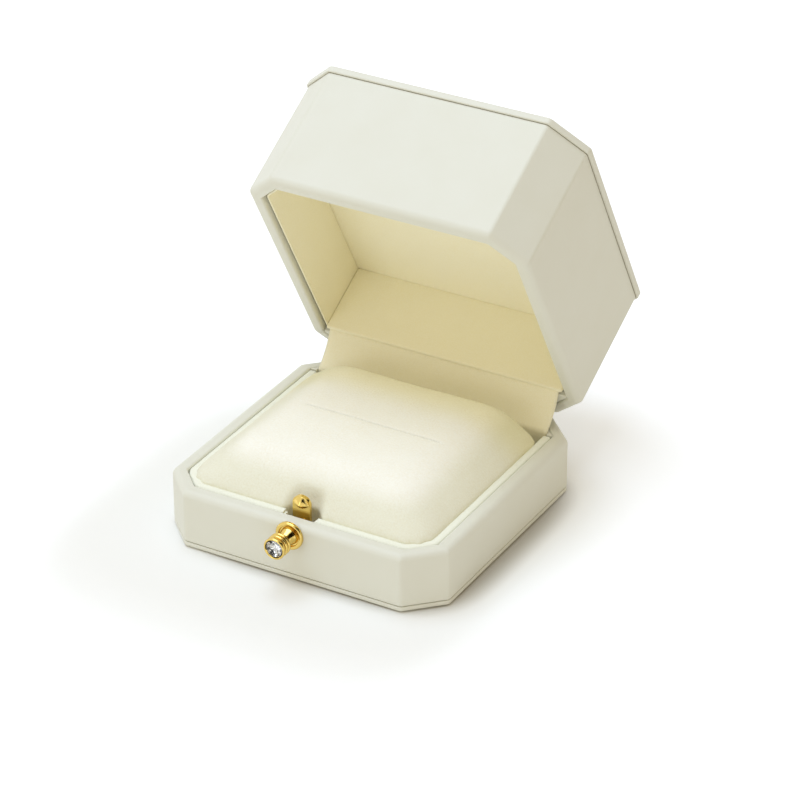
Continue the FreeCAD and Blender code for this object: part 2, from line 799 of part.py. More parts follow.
def build_latch():
    half = bracket_half_width
    return {
        "latch_bracket": build_bracket(),
        "latch_pin": x_cylinder(latch_pin_radius, -half, half, latch_y, latch_z),
        "latch_rivets": Part.makeCompound([rivet.solid for rivet in latch_rivets_list()]),
        "latch_spring": build_latch_spring(),
    }


def build_all():
    case = build_case()
    boards = build_boards()
    bush, button = build_button()
    closed_lid = {}
    pieces = {}
    for name, shape in list(case.items()) + list(boards.items()):
        target = closed_lid if name.startswith(("lid", "top")) else pieces
        target[name] = shape
    for group in (build_collar(), build_pad(), build_hinge(), bush, build_latch(), button):
        pieces.update(group)
    pieces["latch_hook"] = build_hook()
    for group in (build_lid_lining(), build_lid_hinge(), build_strike()):
        closed_lid.update(group)
    for name, shape in closed_lid.items():
        pieces[name] = open_lid(shape)
    return pieces


os.makedirs("parts", exist_ok=True)
for node, piece in build_all().items():
    piece.exportStep("parts/" + node + ".step")
    print(node, len(piece.Solids), round(piece.Volume, 2), piece.isValid())
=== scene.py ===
import bpy
import bmesh
import json
import math
from mathutils import Matrix, Vector, noise


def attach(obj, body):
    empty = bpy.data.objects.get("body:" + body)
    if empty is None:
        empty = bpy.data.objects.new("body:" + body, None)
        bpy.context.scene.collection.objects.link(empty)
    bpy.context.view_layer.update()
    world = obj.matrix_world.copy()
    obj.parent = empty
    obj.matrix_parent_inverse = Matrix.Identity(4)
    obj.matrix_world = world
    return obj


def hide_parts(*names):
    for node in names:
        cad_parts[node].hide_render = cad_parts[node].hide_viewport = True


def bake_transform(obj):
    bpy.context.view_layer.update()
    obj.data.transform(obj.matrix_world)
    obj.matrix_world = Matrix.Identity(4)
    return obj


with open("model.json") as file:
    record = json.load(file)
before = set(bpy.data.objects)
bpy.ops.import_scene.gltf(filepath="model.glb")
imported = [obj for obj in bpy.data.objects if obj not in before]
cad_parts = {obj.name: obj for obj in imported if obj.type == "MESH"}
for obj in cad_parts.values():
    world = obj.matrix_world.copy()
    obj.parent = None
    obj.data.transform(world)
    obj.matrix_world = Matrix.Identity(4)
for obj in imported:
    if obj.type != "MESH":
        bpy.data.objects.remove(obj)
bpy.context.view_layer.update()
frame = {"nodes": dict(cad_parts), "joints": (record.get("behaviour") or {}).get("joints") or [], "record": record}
nodes = frame["nodes"]
mm = 0.001

# Lengths are in millimetres. Lid pieces are drawn on the closed box and then swung open.
case = {
    "width": 65.0,
    "depth": 65.0,
    "cornerCut": 7.2,        # along each side, at every corner
    "innerCut": 4.8,         # the same, inside the rim
    "rim": 3.2,              # wall thickness
    "height": 13.2,          # ground to the base's rim
    "lidHeight": 29.9,
    "parting": 0.1,          # between the two rims, lid closed
}
cutShrink = 2 - math.sqrt(2)  # a corner cut shrinks this much per millimetre of inset
halfWidth = case["width"] / 2
halfDepth = case["depth"] / 2
frontWall = -halfDepth
lidRim = case["height"] + case["parting"]
lidTop = lidRim + case["lidHeight"]

lidJoint = next(joint for joint in frame["joints"] if joint["name"] == "lid_hinge")
hingePoint = Vector(lidJoint["pos_m"])
openAngle = math.radians(lidJoint["range_deg"][1])
openLid = (Matrix.Translation(hingePoint) @ Matrix.Rotation(-openAngle, 4, "X")
           @ Matrix.Translation(-hingePoint))


# Small tools

def linear(code):
    # sRGB hex to linear RGBA
    parts = [int(code[i:i + 2], 16) / 255 for i in (1, 3, 5)]
    return [c / 12.92 if c <= 0.04045 else ((c + 0.055) / 1.055) ** 2.4 for c in parts] + [1.0]


def fed(node, inputs):
    # an input is a node, whose first output is linked, a socket, or a plain value
    for socket, value in inputs.items():
        target = node.inputs[socket]
        if isinstance(value, bpy.types.Node):
            value = value.outputs[0]
        if isinstance(value, bpy.types.NodeSocket):
            node.id_data.links.new(value, target)
        else:
            target.default_value = value
    return node


def addNode(tree, kind, inputs=None, **settings):
    node = tree.nodes.new(kind)
    for name, value in settings.items():
        setattr(node, name, value)
    return fed(node, inputs or {})


def placed(name, data):
    obj = bpy.data.objects.new(name, data)
    bpy.context.scene.collection.objects.link(obj)
    return obj


def finishPiece(name, mesh, slot, body=None, stands=(), material=None):
    obj = placed(name, mesh)
    mesh.materials.clear()
    mesh.materials.append(material or finishes[slot])
    if body:
        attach(obj, body)
    if stands:
        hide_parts(*stands)
    return obj


def meshFrom(bm, name, smoothAngle=40):
    # a clean mesh with outward faces, smooth except over sharp edges
    bmesh.ops.remove_doubles(bm, verts=bm.verts, dist=1e-6)
    bmesh.ops.recalc_face_normals(bm, faces=bm.faces)
    mesh = bpy.data.meshes.new(name)
    bm.to_mesh(mesh)
    bm.free()
    mesh.shade_smooth()
    mesh.set_sharp_from_angle(angle=math.radians(smoothAngle))
    return mesh


def opened(mesh):
    bm = bmesh.new()
    bm.from_mesh(mesh)
    return bm


def resultOf(holder):
    return bpy.data.meshes.new_from_object(
        holder.evaluated_get(bpy.context.evaluated_depsgraph_get()))


def applied(mesh, *steps):
    # runs modifiers over a mesh; each step is (type, settings)
    holder = placed(mesh.name, mesh)
    for kind, settings in steps:
        modifier = holder.modifiers.new(kind, kind)
        for name, value in settings.items():
            setattr(modifier, name, value)
    result = resultOf(holder)
    bpy.data.objects.remove(holder)
    return result


def evenlyShaded(mesh):
    return applied(mesh, ("WEIGHTED_NORMAL", {"keep_sharp": True}))


def grown(name, tree, values, mesh, slot):
    # runs a Geometry Nodes tree over a mesh and keeps the result as a plain mesh
    holder = placed(name, mesh)
    modifier = holder.modifiers.new(tree.name, "NODES")
    modifier.node_group = tree
    for item in tree.interface.items_tree:
        if item.in_out == "INPUT" and item.name in values:
            modifier[item.identifier] = values[item.name]
        if item.name == "finish":
            modifier[item.identifier] = finishes[slot]
    result = resultOf(holder)
    result.name = name
    bpy.data.objects.remove(holder)
    return result


def newTree(name, floats, integers=()):
    tree = bpy.data.node_groups.new(name, "GeometryNodeTree")
    labels = [("Geometry", "Geometry")] + [(label, "Float") for label in floats]
    labels += [(label, "Int") for label in integers] + [("finish", "Material")]
    for label, kind in labels:
        tree.interface.new_socket(label, in_out="INPUT", socket_type="NodeSocket" + kind)
    tree.interface.new_socket("Geometry", in_out="OUTPUT", socket_type="NodeSocketGeometry")
    return tree, tree.nodes.new("NodeGroupInput").outputs


def closeTree(tree, source, geometry):
    real = addNode(tree, "GeometryNodeRealizeInstances", {0: geometry})
    smooth = addNode(tree, "GeometryNodeSetShadeSmooth", {0: real})
    finish = addNode(tree, "GeometryNodeSetMaterial", {
        "Geometry": smooth, "Material": source["finish"]})
    addNode(tree, "NodeGroupOutput", {0: finish})
    return tree


def polyline(name, points):
    mesh = bpy.data.meshes.new(name)
    mesh.from_pydata([Vector(p) * mm for p in points],
                     [(i, i + 1) for i in range(len(points) - 1)], [])
    return mesh


# Finishes

def newMaterial(name):
    material = bpy.data.materials.new(name)
    material.use_nodes = True
    tree = material.node_tree
    return material, tree, addNode(tree, "ShaderNodeTexCoord").outputs["Object"]


def shaded(material, inputs):
    fed(material.node_tree.nodes["Principled BSDF"], inputs)
    return material


def perMm(size):
    # texture scale that gives features of this many millimetres on Object coordinates in metres
    return 1 / (size * mm)


def leatheretteFinish():
    # PU leatherette, calendered: matt with a faint fine grain, so edges catch a soft light
    look = {"colour": "#E4E4D9", "shade": "#E0DFD1", "grain": 0.42, "pores": 1.26, "cloud": 9.0,
            "smoothest": 0.47, "roughest": 0.58, "relief": 0.16}
    material, tree, place = newMaterial("puLeatherette")
    cloud = addNode(tree, "ShaderNodeTexNoise", {
        "Vector": place, "Scale": perMm(look["cloud"]), "Detail": 2.0})
    tone = addNode(tree, "ShaderNodeMixRGB", {
        "Fac": cloud, "Color1": linear(look["colour"]), "Color2": linear(look["shade"])})
    grain = addNode(tree, "ShaderNodeTexVoronoi", {
        "Vector": place, "Scale": perMm(look["grain"]), "Smoothness": 0.6}, feature="SMOOTH_F1")
    pores = addNode(tree, "ShaderNodeTexNoise", {
        "Vector": place, "Scale": perMm(look["pores"]), "Detail": 3.0})
    both = addNode(tree, "ShaderNodeMath", {0: grain, 1: pores}, operation="ADD")
    relief = addNode(tree, "ShaderNodeBump", {
        "Height": both, "Strength": look["relief"], "Distance": 0.02 * mm})
    gloss = addNode(tree, "ShaderNodeMapRange", {
        "Value": pores, "To Min": look["smoothest"], "To Max": look["roughest"]})
    return shaded(material, {
        "Base Color": tone, "Roughness": gloss, "Normal": relief, "IOR": 1.46})


def suedeFinish(name, look):
    # microfibre suede, brushed: short nap, so it is soft-edged, speckled and brighter when seen flat on
    material, tree, place = newMaterial(name)
    nap = addNode(tree, "ShaderNodeTexNoise", {
        "Vector": place, "Scale": perMm(look["nap"]), "Detail": 3.0, "Roughness": 0.65})
    brushed = addNode(tree, "ShaderNodeTexNoise", {
        "Vector": place, "Scale": perMm(look["brush"]), "Detail": 2.0})
    shares = addNode(tree, "ShaderNodeMapRange", {"Value": nap, "From Min": 0.3, "From Max": 0.7})
    speckle = addNode(tree, "ShaderNodeMixRGB", {
        "Fac": shares, "Color1": linear(look["dark"]), "Color2": linear(look["light"])})
    worn = addNode(tree, "ShaderNodeMapRange", {"Value": brushed, "To Max": 0.7})
    tone = addNode(tree, "ShaderNodeMixRGB", {
        "Fac": worn, "Color1": speckle, "Color2": linear(look["light"])})
    # painted shade and light: the colour is darkened or tinted along one axis, by height or by depth
    for axis, start, end, paintedTone in look.get("paintedShading", ()):
        along = addNode(tree, "ShaderNodeSeparateXYZ", {"Vector": place}).outputs[axis]
        share = addNode(tree, "ShaderNodeMapRange", {
            "Value": along, "From Min": start * mm, "From Max": end * mm},
            interpolation_type="SMOOTHSTEP")
        tone = addNode(tree, "ShaderNodeMixRGB", {
            "Fac": share, "Color1": tone, "Color2": linear(paintedTone)}, blend_type="MULTIPLY")
    relief = addNode(tree, "ShaderNodeBump", {
        "Height": nap, "Strength": look["relief"], "Distance": 0.12 * mm})
    return shaded(material, {
        "Base Color": tone, "Normal": relief, "Roughness": 0.9, "Specular IOR Level": 0.2,
        "Sheen Weight": look["sheen"], "Sheen Roughness": 0.45,
        "Sheen Tint": linear(look["light"])})


def metalFinish(name, colour, marks, smoothest, roughest):
    material, tree, place = newMaterial(name)
    uneven = addNode(tree, "ShaderNodeTexNoise", {
        "Vector": place, "Scale": perMm(marks), "Detail": 4.0})
    gloss = addNode(tree, "ShaderNodeMapRange", {
        "Value": uneven, "To Min": smoothest, "To Max": roughest})
    return shaded(material, {"Roughness": gloss, "Base Color": linear(colour), "Metallic": 1.0})


def crystalFinish():
    # cut lead-free glass, polished: clear, with sharp bright and dark facets
    material, tree, place = newMaterial("cutGlass")
    flaw = addNode(tree, "ShaderNodeTexNoise", {"Vector": place, "Scale": perMm(1.2)})
    gloss = addNode(tree, "ShaderNodeMapRange", {"Value": flaw, "To Min": 0.0, "To Max": 0.03})
    return shaded(material, {"Roughness": gloss, "Base Color": linear("#FBFCFC"),
                             "Transmission Weight": 1.0, "IOR": 1.56})


def plainFinish(name, colour, shade, size, roughness, relief):
    # moulded plastic, grey board and cut foam, told apart by the size and depth of their texture
    material, tree, place = newMaterial(name)
    grit = addNode(tree, "ShaderNodeTexNoise", {
        "Vector": place, "Scale": perMm(size), "Detail": 4.0})
    tone = addNode(tree, "ShaderNodeMixRGB", {
        "Fac": grit, "Color1": linear(colour), "Color2": linear(shade)})
    bump = addNode(tree, "ShaderNodeBump", {
        "Height": grit, "Strength": relief, "Distance": 0.1 * mm})
    return shaded(material, {"Base Color": tone, "Normal": bump, "Roughness": roughness})


# by material slot; the gold-plated zinc is polished, with hairline marks, the steel is stamped and
# tumbled, and the wire is drawn
finishes = {
    "leatherette": leatheretteFinish(),
    "suede": suedeFinish("padSuede", {
        "light": "#FFFEF6", "dark": "#F6F1E0", "nap": 0.42, "brush": 7.0, "relief": 0.9,
        "sheen": 0.25,
        # painted shade and painted light: the bevelled sides are painted darker, and the rear is painted yellow
        # for the light the lid's lining throws on it
        "paintedShading": (("Z", 19.8, 16.5, "#EFEFE5"), ("Y", 6, 17, "#FCF9E5"))}),
    "lining": suedeFinish("liningSuede", {
        "light": "#FEF9E1", "dark": "#F8F1CE", "nap": 0.3, "brush": 9.0, "relief": 0.3,
        "sheen": 0.15}),
    "collar": suedeFinish("collarSuede", {
        "light": "#F6F7EA", "dark": "#EEEFDD", "nap": 0.3, "brush": 6.0, "relief": 0.25,
        "sheen": 0.15}),
    "gold_plate": metalFinish("polishedGoldPlate", "#E8C972", 0.8, 0.08, 0.2),
    "crystal": crystalFinish(),
    "steel": metalFinish("stampedSteel", "#B9B6AE", 0.6, 0.22, 0.4),
    "spring_steel": metalFinish("drawnSpringWire", "#9FA0A2", 0.6, 0.18, 0.3),
    "shell": plainFinish("mouldedPolystyrene", "#DCDACD", "#D2D0C2", 0.7, 0.5, 0.1),
    "board": plainFinish("greyBoard", "#B9B2A2", "#A39C8C", 0.5, 0.9, 0.5),
    "foam": plainFinish("cutFoam", "#EFEBDA", "#D9D3BB", 0.8, 0.95, 0.9),
}
for part in frame["record"]["subparts"]:
    materials = nodes[part["node"]].data.materials
    materials.clear()
    materials.append(finishes[part["material_slot"]])
print("finishes made")


# Octagon outlines and lofts between them

def octagon(inset, cut, radius, height, steps=6):
    # counter-clockwise ring with its eight corners rounded
    x, y = halfWidth - inset, halfDepth - inset
    corners = [Vector(p) for p in ((x - cut, -y), (x, cut - y), (x, y - cut), (x - cut, y),
                                   (cut - x, y), (-x, y - cut), (-x, cut - y), (cut - x, -y))]
    tangent = radius * math.tan(math.pi / 8)
    ring = []
    for i, corner in enumerate(corners):
        before = (corner - corners[i - 1]).normalized()
        centre = corner - before * tangent + Vector((-before.y, before.x)) * radius
        start = math.atan2(-before.x, before.y)
        for step in range(steps + 1):
            turn = start + math.pi / 4 * step / steps
            ring.append(Vector((centre.x + radius * math.cos(turn),
                                centre.y + radius * math.sin(turn), height)))
    return ring


def outerCut(inset):
    return case["cornerCut"] - inset * cutShrink


def innerCut(inset):
    return case["innerCut"] - (inset - case["rim"]) * cutShrink


def arc(centre, radius, start, end, steps):
    # points on a circle from one angle to another, in degrees
    turns = [math.radians(start + (end - start) * i / steps) for i in range(steps + 1)]
    return [(centre[0] + radius * math.cos(t), centre[1] + radius * math.sin(t)) for t in turns]


def loft(rings, closed=False, capped=False, bm=None):
    if bm is None:
        bm = bmesh.new()
    rows = [[bm.verts.new(point * mm) for point in ring] for ring in rings]
    for low, high in zip(rows, rows[1:] + (rows[:1] if closed else [])):
        for i in range(len(low)):
            bm.faces.new((low[i - 1], low[i], high[i], high[i - 1]))
    if capped:
        bm.faces.new(rows[0])
        bm.faces.new(rows[-1])
    return bm


def fillGrid(bm, rows):
    # four-sided faces between rows of points
    for low, high in zip(rows, rows[1:]):
        for i in range(len(low) - 1):
            bm.faces.new((low[i], low[i + 1], high[i + 1], high[i]))


def swungOpen(mesh):
    mesh.transform(openLid)
    return mesh


def boxMesh(low, high):
    bm = bmesh.new()
    bmesh.ops.create_cube(bm, size=1)
    for vert in bm.verts:
        vert.co = Vector((low[i] if vert.co[i] < 0 else high[i]) * mm for i in range(3))
    return bm


def cutBox(mesh, low, high):
    cutter = placed("cutter", meshFrom(boxMesh(low, high), "cutter"))
    result = applied(mesh, ("BOOLEAN", {
        "object": cutter, "operation": "DIFFERENCE", "solver": "EXACT"}))
    bpy.data.objects.remove(cutter)
    # the new edges need their own sharp marks
    return meshFrom(opened(result), result.name, 50)


# Leatherette over the two trays

wrap = {
    "thickness": 0.5,
    "turnIn": 6.0,
    "rimRound": 1.5,
    "innerRound": 0.5,
    "cornerRound": 1.25,
    "innerCornerRound": 0.7,
    "baseFoot": (0.35, 0.1),    # how round the foot is, and the hairline above the board
    "lidFoot": (0.16, 0.03),
}


def wrapRing(inset, height, inside):
    # the outline leans over from the outer octagon to the inner one across the rim
    share = min(1, max(0, (inset - wrap["rimRound"]) / (case["rim"] - wrap["rimRound"])))
    cut = outerCut(inset) * (1 - share) + innerCut(inset) * share
    corner = max(0.3, wrap["cornerRound"] - inset * 0.6)
    return octagon(inset, cut, wrap["innerCornerRound"] if inside else corner, height)


def wrapSection(foot, low, seam):
    # (inset, height, inside) round the wall: up the outside, over the rim, down, and back in the wall
    rim, top = case["rim"], case["height"]
    thick, turn = wrap["thickness"], wrap["turnIn"]
    outer, inner = wrap["rimRound"], wrap["innerRound"]
    foot = foot + seam
    path = [(*p, False) for p in arc((low, foot + low), low, 270, 180, 4)]
    path += [(0, foot + 1.2, False), (0, top - outer - 0.4, False)]
    path += [(*p, False) for p in arc((outer, top - outer), outer, 180, 90, 10)]
    path += [(outer + 0.4, top, False), (rim - inner - 0.3, top, True)]
    path += [(*p, True) for p in arc((rim - inner, top - inner), inner, 90, 0, 6)]
    path += [(rim, top - inner - 0.4, True), (rim, top - turn, True), (rim - thick, top - turn, True)]
    path += [(rim - thick, top - outer, True), (outer, top - thick, False)]
    path += [(thick, top - outer, False), (thick, foot, False)]
    return path


def makeWrap(foot, name, edge):
    rings = [wrapRing(inset, height, inside) for inset, height, inside in wrapSection(foot, *edge)]
    return meshFrom(loft(rings, closed=True), name)


def turnOver(mesh):
    # a tray drawn rim up becomes the closed lid
    mesh.transform(Matrix.Translation((0, 0, (case["height"] * 2 + case["parting"]) * mm))
                   @ Matrix.Rotation(math.pi, 4, "X"))
    return mesh


def coverWith(name, mesh, body, node):
    finishPiece(name, evenlyShaded(mesh), "leatherette", body, [node])


hingeNotch = {"half": 13.4, "low": 9.65}
baseFoot = 1.35
lidBoard = 1.5
baseTray = cutBox(makeWrap(baseFoot, "baseWrap", wrap["baseFoot"]),
                  (-hingeNotch["half"], halfDepth - case["rim"] - 1, hingeNotch["low"]),
                  (hingeNotch["half"], halfDepth + 1, case["height"] + 1))
coverWith("baseWrap", baseTray, "base", "base_leatherette")
lidTray = turnOver(makeWrap(case["height"] - case["lidHeight"] + lidBoard, "lidWrap",
                            wrap["lidFoot"]))
coverWith("lidWrap", swungOpen(lidTray), "lid", "lid_leatherette")


# Leatherette cups over the bottom and top boards

boardWrap = {
    "thickness": 0.4,
    "seamRound": 0.17,
    "cornerRound": 1.4,
    "overhang": 0.5,            # of the top board
    "topEdge": (0.35, 0.35),    # how far the outer edge rounds off, inwards and downwards
    "bottomEdge": (1.6, 0.7),
    "lastRing": 8,              # inset at which the flat field starts
}


def makeBoardWrap(name, thickness, overhang, edge):
    # drawn as the top board: open side down, its underside at height 0
    skin, seam, last = boardWrap["thickness"], boardWrap["seamRound"], boardWrap["lastRing"]
    across, down = edge
    path = [(skin - overhang, 0)]
    path += arc((seam - overhang, seam), seam, 270, 180, 3)
    path += [(across * (1 + x) - overhang, thickness - down * (1 - y))
             for x, y in arc((0, 0), 1, 180, 90, 8)]
    path += [(across - overhang + 0.5, thickness), (last, thickness)]
    inner = [(last, thickness - skin), (skin - overhang, thickness - skin)]
    rings = [octagon(i, outerCut(i), max(0.3, boardWrap["cornerRound"] - (i + overhang) * 0.5), h)
             for i, h in path + inner]
    bm = loft(rings, closed=True)
    # the field beyond the last ring on each side
    bm.verts.ensure_lookup_table()
    size = len(rings[0])
    for number in (len(path) - 1, len(path)):
        bm.faces.new(bm.verts[number * size:(number + 1) * size])
    joining = [face for face in bm.faces
               if {v.index // size for v in face.verts} == {len(path) - 1, len(path)}]
    bmesh.ops.delete(bm, geom=joining, context="FACES_ONLY")
    return meshFrom(bm, name)


topWrap = makeBoardWrap("topBoardWrap", lidBoard, boardWrap["overhang"], boardWrap["topEdge"])
topWrap.transform(Matrix.Translation((0, 0, (lidTop - lidBoard) * mm)))
coverWith("topBoardWrap", swungOpen(topWrap), "lid", "top_board_leatherette")
bottomWrap = makeBoardWrap("bottomBoardWrap", baseFoot, 0, boardWrap["bottomEdge"])
bottomWrap.transform(Matrix.Translation((0, 0, baseFoot * mm)) @ Matrix.Rotation(math.pi, 4, "X"))
coverWith("bottomBoardWrap", bottomWrap, "base", "bottom_board_leatherette")
print("leatherette wraps made")


# Strips of wrapped card: the collar and the lining band follow a path with softened corners

def stripTree():
    # a path becomes a strip with rounded edges: width across it, height upright
    tree, source = newTree("wrappedStrip", ["width", "height", "edgeRound", "cornerRound"])
    path = addNode(tree, "GeometryNodeMeshToCurve", {0: source["Geometry"]})
    upright = addNode(tree, "GeometryNodeSetCurveNormal", {0: path}, mode="Z_UP")
    turned = addNode(tree, "GeometryNodeFilletCurve", {
        "Curve": upright, "Count": 8, "Radius": source["cornerRound"]}, mode="POLY")
    box = addNode(tree, "GeometryNodeCurvePrimitiveQuadrilateral", {
        "Width": source["width"], "Height": source["height"]})
    section = addNode(tree, "GeometryNodeFilletCurve", {
        "Curve": box, "Count": 5, "Radius": source["edgeRound"]}, mode="POLY")
    strip = addNode(tree, "GeometryNodeCurveToMesh", {
        "Curve": turned, "Profile Curve": section, "Fill Caps": True})
    return closeTree(tree, source, strip)


wrappedStrip = stripTree()


def makeStrip(name, points, sizes, slot, endRound):
    bm = opened(grown(name, wrappedStrip, {key: value * mm for key, value in sizes.items()},
                      polyline(name, points), slot))
    rims = {edge for face in bm.faces if len(face.verts) > 4 for edge in face.edges}
    bmesh.ops.bevel(bm, geom=list(rims), offset=endRound * mm, segments=4, affect="EDGES")
    return meshFrom(bm, name, 50)


collar = {
    "thickness": 1.9,       # leaves a hairline to the rim
    "gap": 0.1,
    "drop": 0.15,           # below the rim
    "floor": 2.85,
    "notch": 6.6,           # open for the hook
    "rearEnd": 24.2,
    "edgeRound": 0.55,
    "cornerRound": 2.8,
    "endRound": 0.5,
}


def makeCollar(name, side, node):
    # one strip, from the hook's notch round to its rear end
    inset = case["rim"] + collar["gap"] + collar["thickness"] / 2
    cut = innerCut(inset)
    x, y = halfWidth - inset, halfDepth - inset
    middle = (case["height"] - collar["drop"] + collar["floor"]) / 2
    corners = [(collar["notch"] / 2, -y), (x - cut, -y), (x, cut - y), (x, collar["rearEnd"])]
    sizes = {"width": collar["thickness"],
             "height": case["height"] - collar["drop"] - collar["floor"],
             "edgeRound": collar["edgeRound"], "cornerRound": collar["cornerRound"]}
    mesh = makeStrip(name, [(side * px, py, middle) for px, py in corners], sizes, "collar",
                     collar["endRound"])
    finishPiece(name, mesh, "collar", "base", [node])


makeCollar("collarStripRight", 1, "collar_right")
makeCollar("collarStripLeft", -1, "collar_left")


# Lining of the lid, drawn closed: a band of wrapped card, a rear panel and a padded ceiling

lining = {
    "thickness": 0.4,
    "gap": 0.45,            # shadow line between it and the rim
    "edgeRound": 0.18,
    "cornerRound": 2.0,
    "endRound": 0.12,
    "bandLow": lidRim + 1.1,
    "low": lidRim + 0.4,
    "ceiling": lidRim + 16.4,
    "ceilingThickness": 0.8,
    "rearFront": 22.25,     # front face of the rear panel
    "rearThickness": 0.85,
    "rearMargin": 0.85,     # from the wall to the rear panel's end
    "rearRound": 0.4,
    "notch": (4.6, 5.6),    # half width and top above low, for the strike plate
    "crown": 0.35,          # how far the padded ceiling swells
    "crownRun": 24,         # and over what distance from its edge
}
liningRear = lining["rearFront"] + lining["rearThickness"]


def makeLiningBand():
    inset = case["rim"] + lining["gap"] + lining["thickness"] / 2
    cut = innerCut(inset)
    x, y = halfWidth - inset, halfDepth - inset
    height = (lining["bandLow"] + lining["ceiling"]) / 2
    right = [(x, liningRear, height), (x, cut - y, height), (x - cut, -y, height)]
    points = right + [(-px, py, pz) for px, py, pz in reversed(right)]
    sizes = {"width": lining["thickness"], "height": lining["ceiling"] - lining["bandLow"],
             "edgeRound": lining["edgeRound"], "cornerRound": lining["cornerRound"]}
    mesh = makeStrip("liningBand", points, sizes, "lining", lining["endRound"])
    half, tall = lining["notch"]
    return cutBox(mesh, (-half, -halfDepth, lining["low"] - 1),
                  (half, -halfDepth + 6, lining["low"] + tall))


def roundedPanel(name, low, high, rounding):
    # a wrapped card: a box with rounded edges, divided for even shading
    bm = boxMesh(low, high)
    bmesh.ops.bevel(bm, geom=bm.edges[:], offset=rounding * mm, segments=5, affect="EDGES",
                    profile=0.5)
    for axis, normal in ((0, Vector((1, 0, 0))), (2, Vector((0, 0, 1)))):
        for step in range(1, 24):
            place = (low[axis] + (high[axis] - low[axis]) * step / 24) * mm
            bmesh.ops.bisect_plane(bm, geom=bm.verts[:] + bm.edges[:] + bm.faces[:],
                                   plane_co=normal * place, plane_no=normal)
    return meshFrom(bm, name)


def makeRearPanel():
    half = halfWidth - case["rim"] - lining["rearMargin"]
    return roundedPanel("liningRear", (-half, lining["rearFront"], lining["low"]),
                        (half, liningRear, lining["ceiling"]), lining["rearRound"])


def makeCeiling():
    # its lower face swells in the middle; what lies behind the rear panel is cut away
    inset, edge, steps = case["rim"] + 0.05, 0.3, 14
    base, top = lining["ceiling"], lining["ceiling"] + lining["ceilingThickness"]
    path = [(lining["crownRun"] + inset + edge, top), (inset, top)]
    path += arc((inset + edge, base + edge), edge, 180, 270, 4)
    for step in range(1, steps + 1):
        share = step / steps
        path.append((inset + edge + lining["crownRun"] * share,
                     base - lining["crown"] * math.sin(share * math.pi / 2)))
    rings = [octagon(i, max(0.6, innerCut(i)), 0.5, h) for i, h in path]
    return cutBox(meshFrom(loft(rings, capped=True), "liningCeiling"),
                  (-halfWidth, liningRear, base - 2), (halfWidth, halfDepth, base + 3))


for name, mesh in (("band", makeLiningBand()), ("rear", makeRearPanel()), ("ceiling", makeCeiling())):
    finishPiece("lining" + name.title(), swungOpen(mesh), "lining", "lid",
                ["lid_lining_" + name])
print("collar and lining made")


# Flap of lining that hides the hinge: tucked behind the rear panel, then down behind the pad

flap = {
    "halfWidth": 27.6,
    "thickness": 0.4,
    "y": 24.75,             # where it goes down behind the pad
    "tuck": 4.0,
    "floor": 2.85,
    "sag": 0.55,            # how far the free part hangs in between its two ends
    "spans": 16,            # of the free part
    "levels": (12.6, 12, 11, 9, 6),
    "columns": 72,
}


def openedPoint(y, z):
    point = openLid @ Vector((0, y * mm, z * mm))
    return Vector((point.y / mm, point.z / mm))


def flapLine():
    # (y, z) from the tuck behind the rear panel to the floor, at rest
    behind = liningRear + 0.1
    line = [openedPoint(behind, lining["low"] + up) for up in (flap["tuck"], 2, 0.6)]
    fold = openedPoint(behind, lining["low"])
    foot = Vector((flap["y"] + flap["thickness"], case["height"]))
    slope = (foot - fold).normalized()
    sideways = Vector((-slope.y, slope.x))
    for step in range(flap["spans"] + 1):
        share = step / flap["spans"]
        hang = flap["sag"] * 4 * share * (1 - share)
        line.append(fold.lerp(foot, share) + sideways * hang)
    line += [Vector((foot.x, height)) for height in (*flap["levels"], flap["floor"] + 0.3)]
    return line


def makeFlap():
    line = flapLine()
    bm = bmesh.new()
    turns = [2 * column / flap["columns"] - 1 for column in range(flap["columns"] + 1)]
    rows = [[bm.verts.new(Vector((side * flap["halfWidth"], y, z)) * mm) for side in turns]
            for y, z in line]
    fillGrid(bm, rows)
    mesh = bpy.data.meshes.new("hingeFlap")
    bm.to_mesh(mesh)
    bm.free()
    mesh.shade_smooth()
    mesh = applied(mesh, ("SOLIDIFY", {"thickness": flap["thickness"] * mm, "offset": 0.0}))
    obj = finishPiece("hingeFlap", mesh, "lining")
    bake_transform(obj)
    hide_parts("hinge_flap")


# Leatherette blocks that close the corners beside the flap
gussets = {
    "rearGussetsBase": {"body": "base", "low": case["height"] - 5, "high": case["height"] - 0.15,
                        "front": flap["y"] + 0.6, "step": 0.95, "edgeRound": 0.3},
    "rearGussetsLid": {"body": "lid", "low": lidRim + 0.15, "high": lidRim + 6,
                       "front": liningRear + 0.7, "step": 0, "edgeRound": 0.6},
}


def makeGussets(name, look):
    wall = halfWidth - case["rim"] - 0.05
    tip = halfWidth - case["rim"] - innerCut(case["rim"])
    front, step, beside = look["front"], look["step"], flap["halfWidth"] + 0.2
    plan = [(wall, front - step), (wall, tip), (tip, wall), (tip - 1.0, wall),
            (flap["halfWidth"] - 3.2, front)]
    if step:
        plan += [(beside, front), (beside, front - step)]
    both = bmesh.new()
    for side in (-1, 1):
        block = loft([[Vector((side * x, y, z)) for x, y in plan] for z in (look["low"], look["high"])],
                     capped=True)
        bmesh.ops.recalc_face_normals(block, faces=block.faces)
        bmesh.ops.bevel(block, geom=block.edges[:], offset=look["edgeRound"] * mm, segments=5,
                        affect="EDGES", profile=0.5, clamp_overlap=True)
        both.from_mesh(meshFrom(block, name))
    mesh = meshFrom(both, name)
    if look["body"] == "lid":
        swungOpen(mesh)
    finishPiece(name, mesh, "leatherette", look["body"])


for name, look in gussets.items():
    makeGussets(name, look)
makeFlap()
print("hinge flap made")


# Ring pad: a suede cushion, blown up by a cloth simulation ten times as large as life

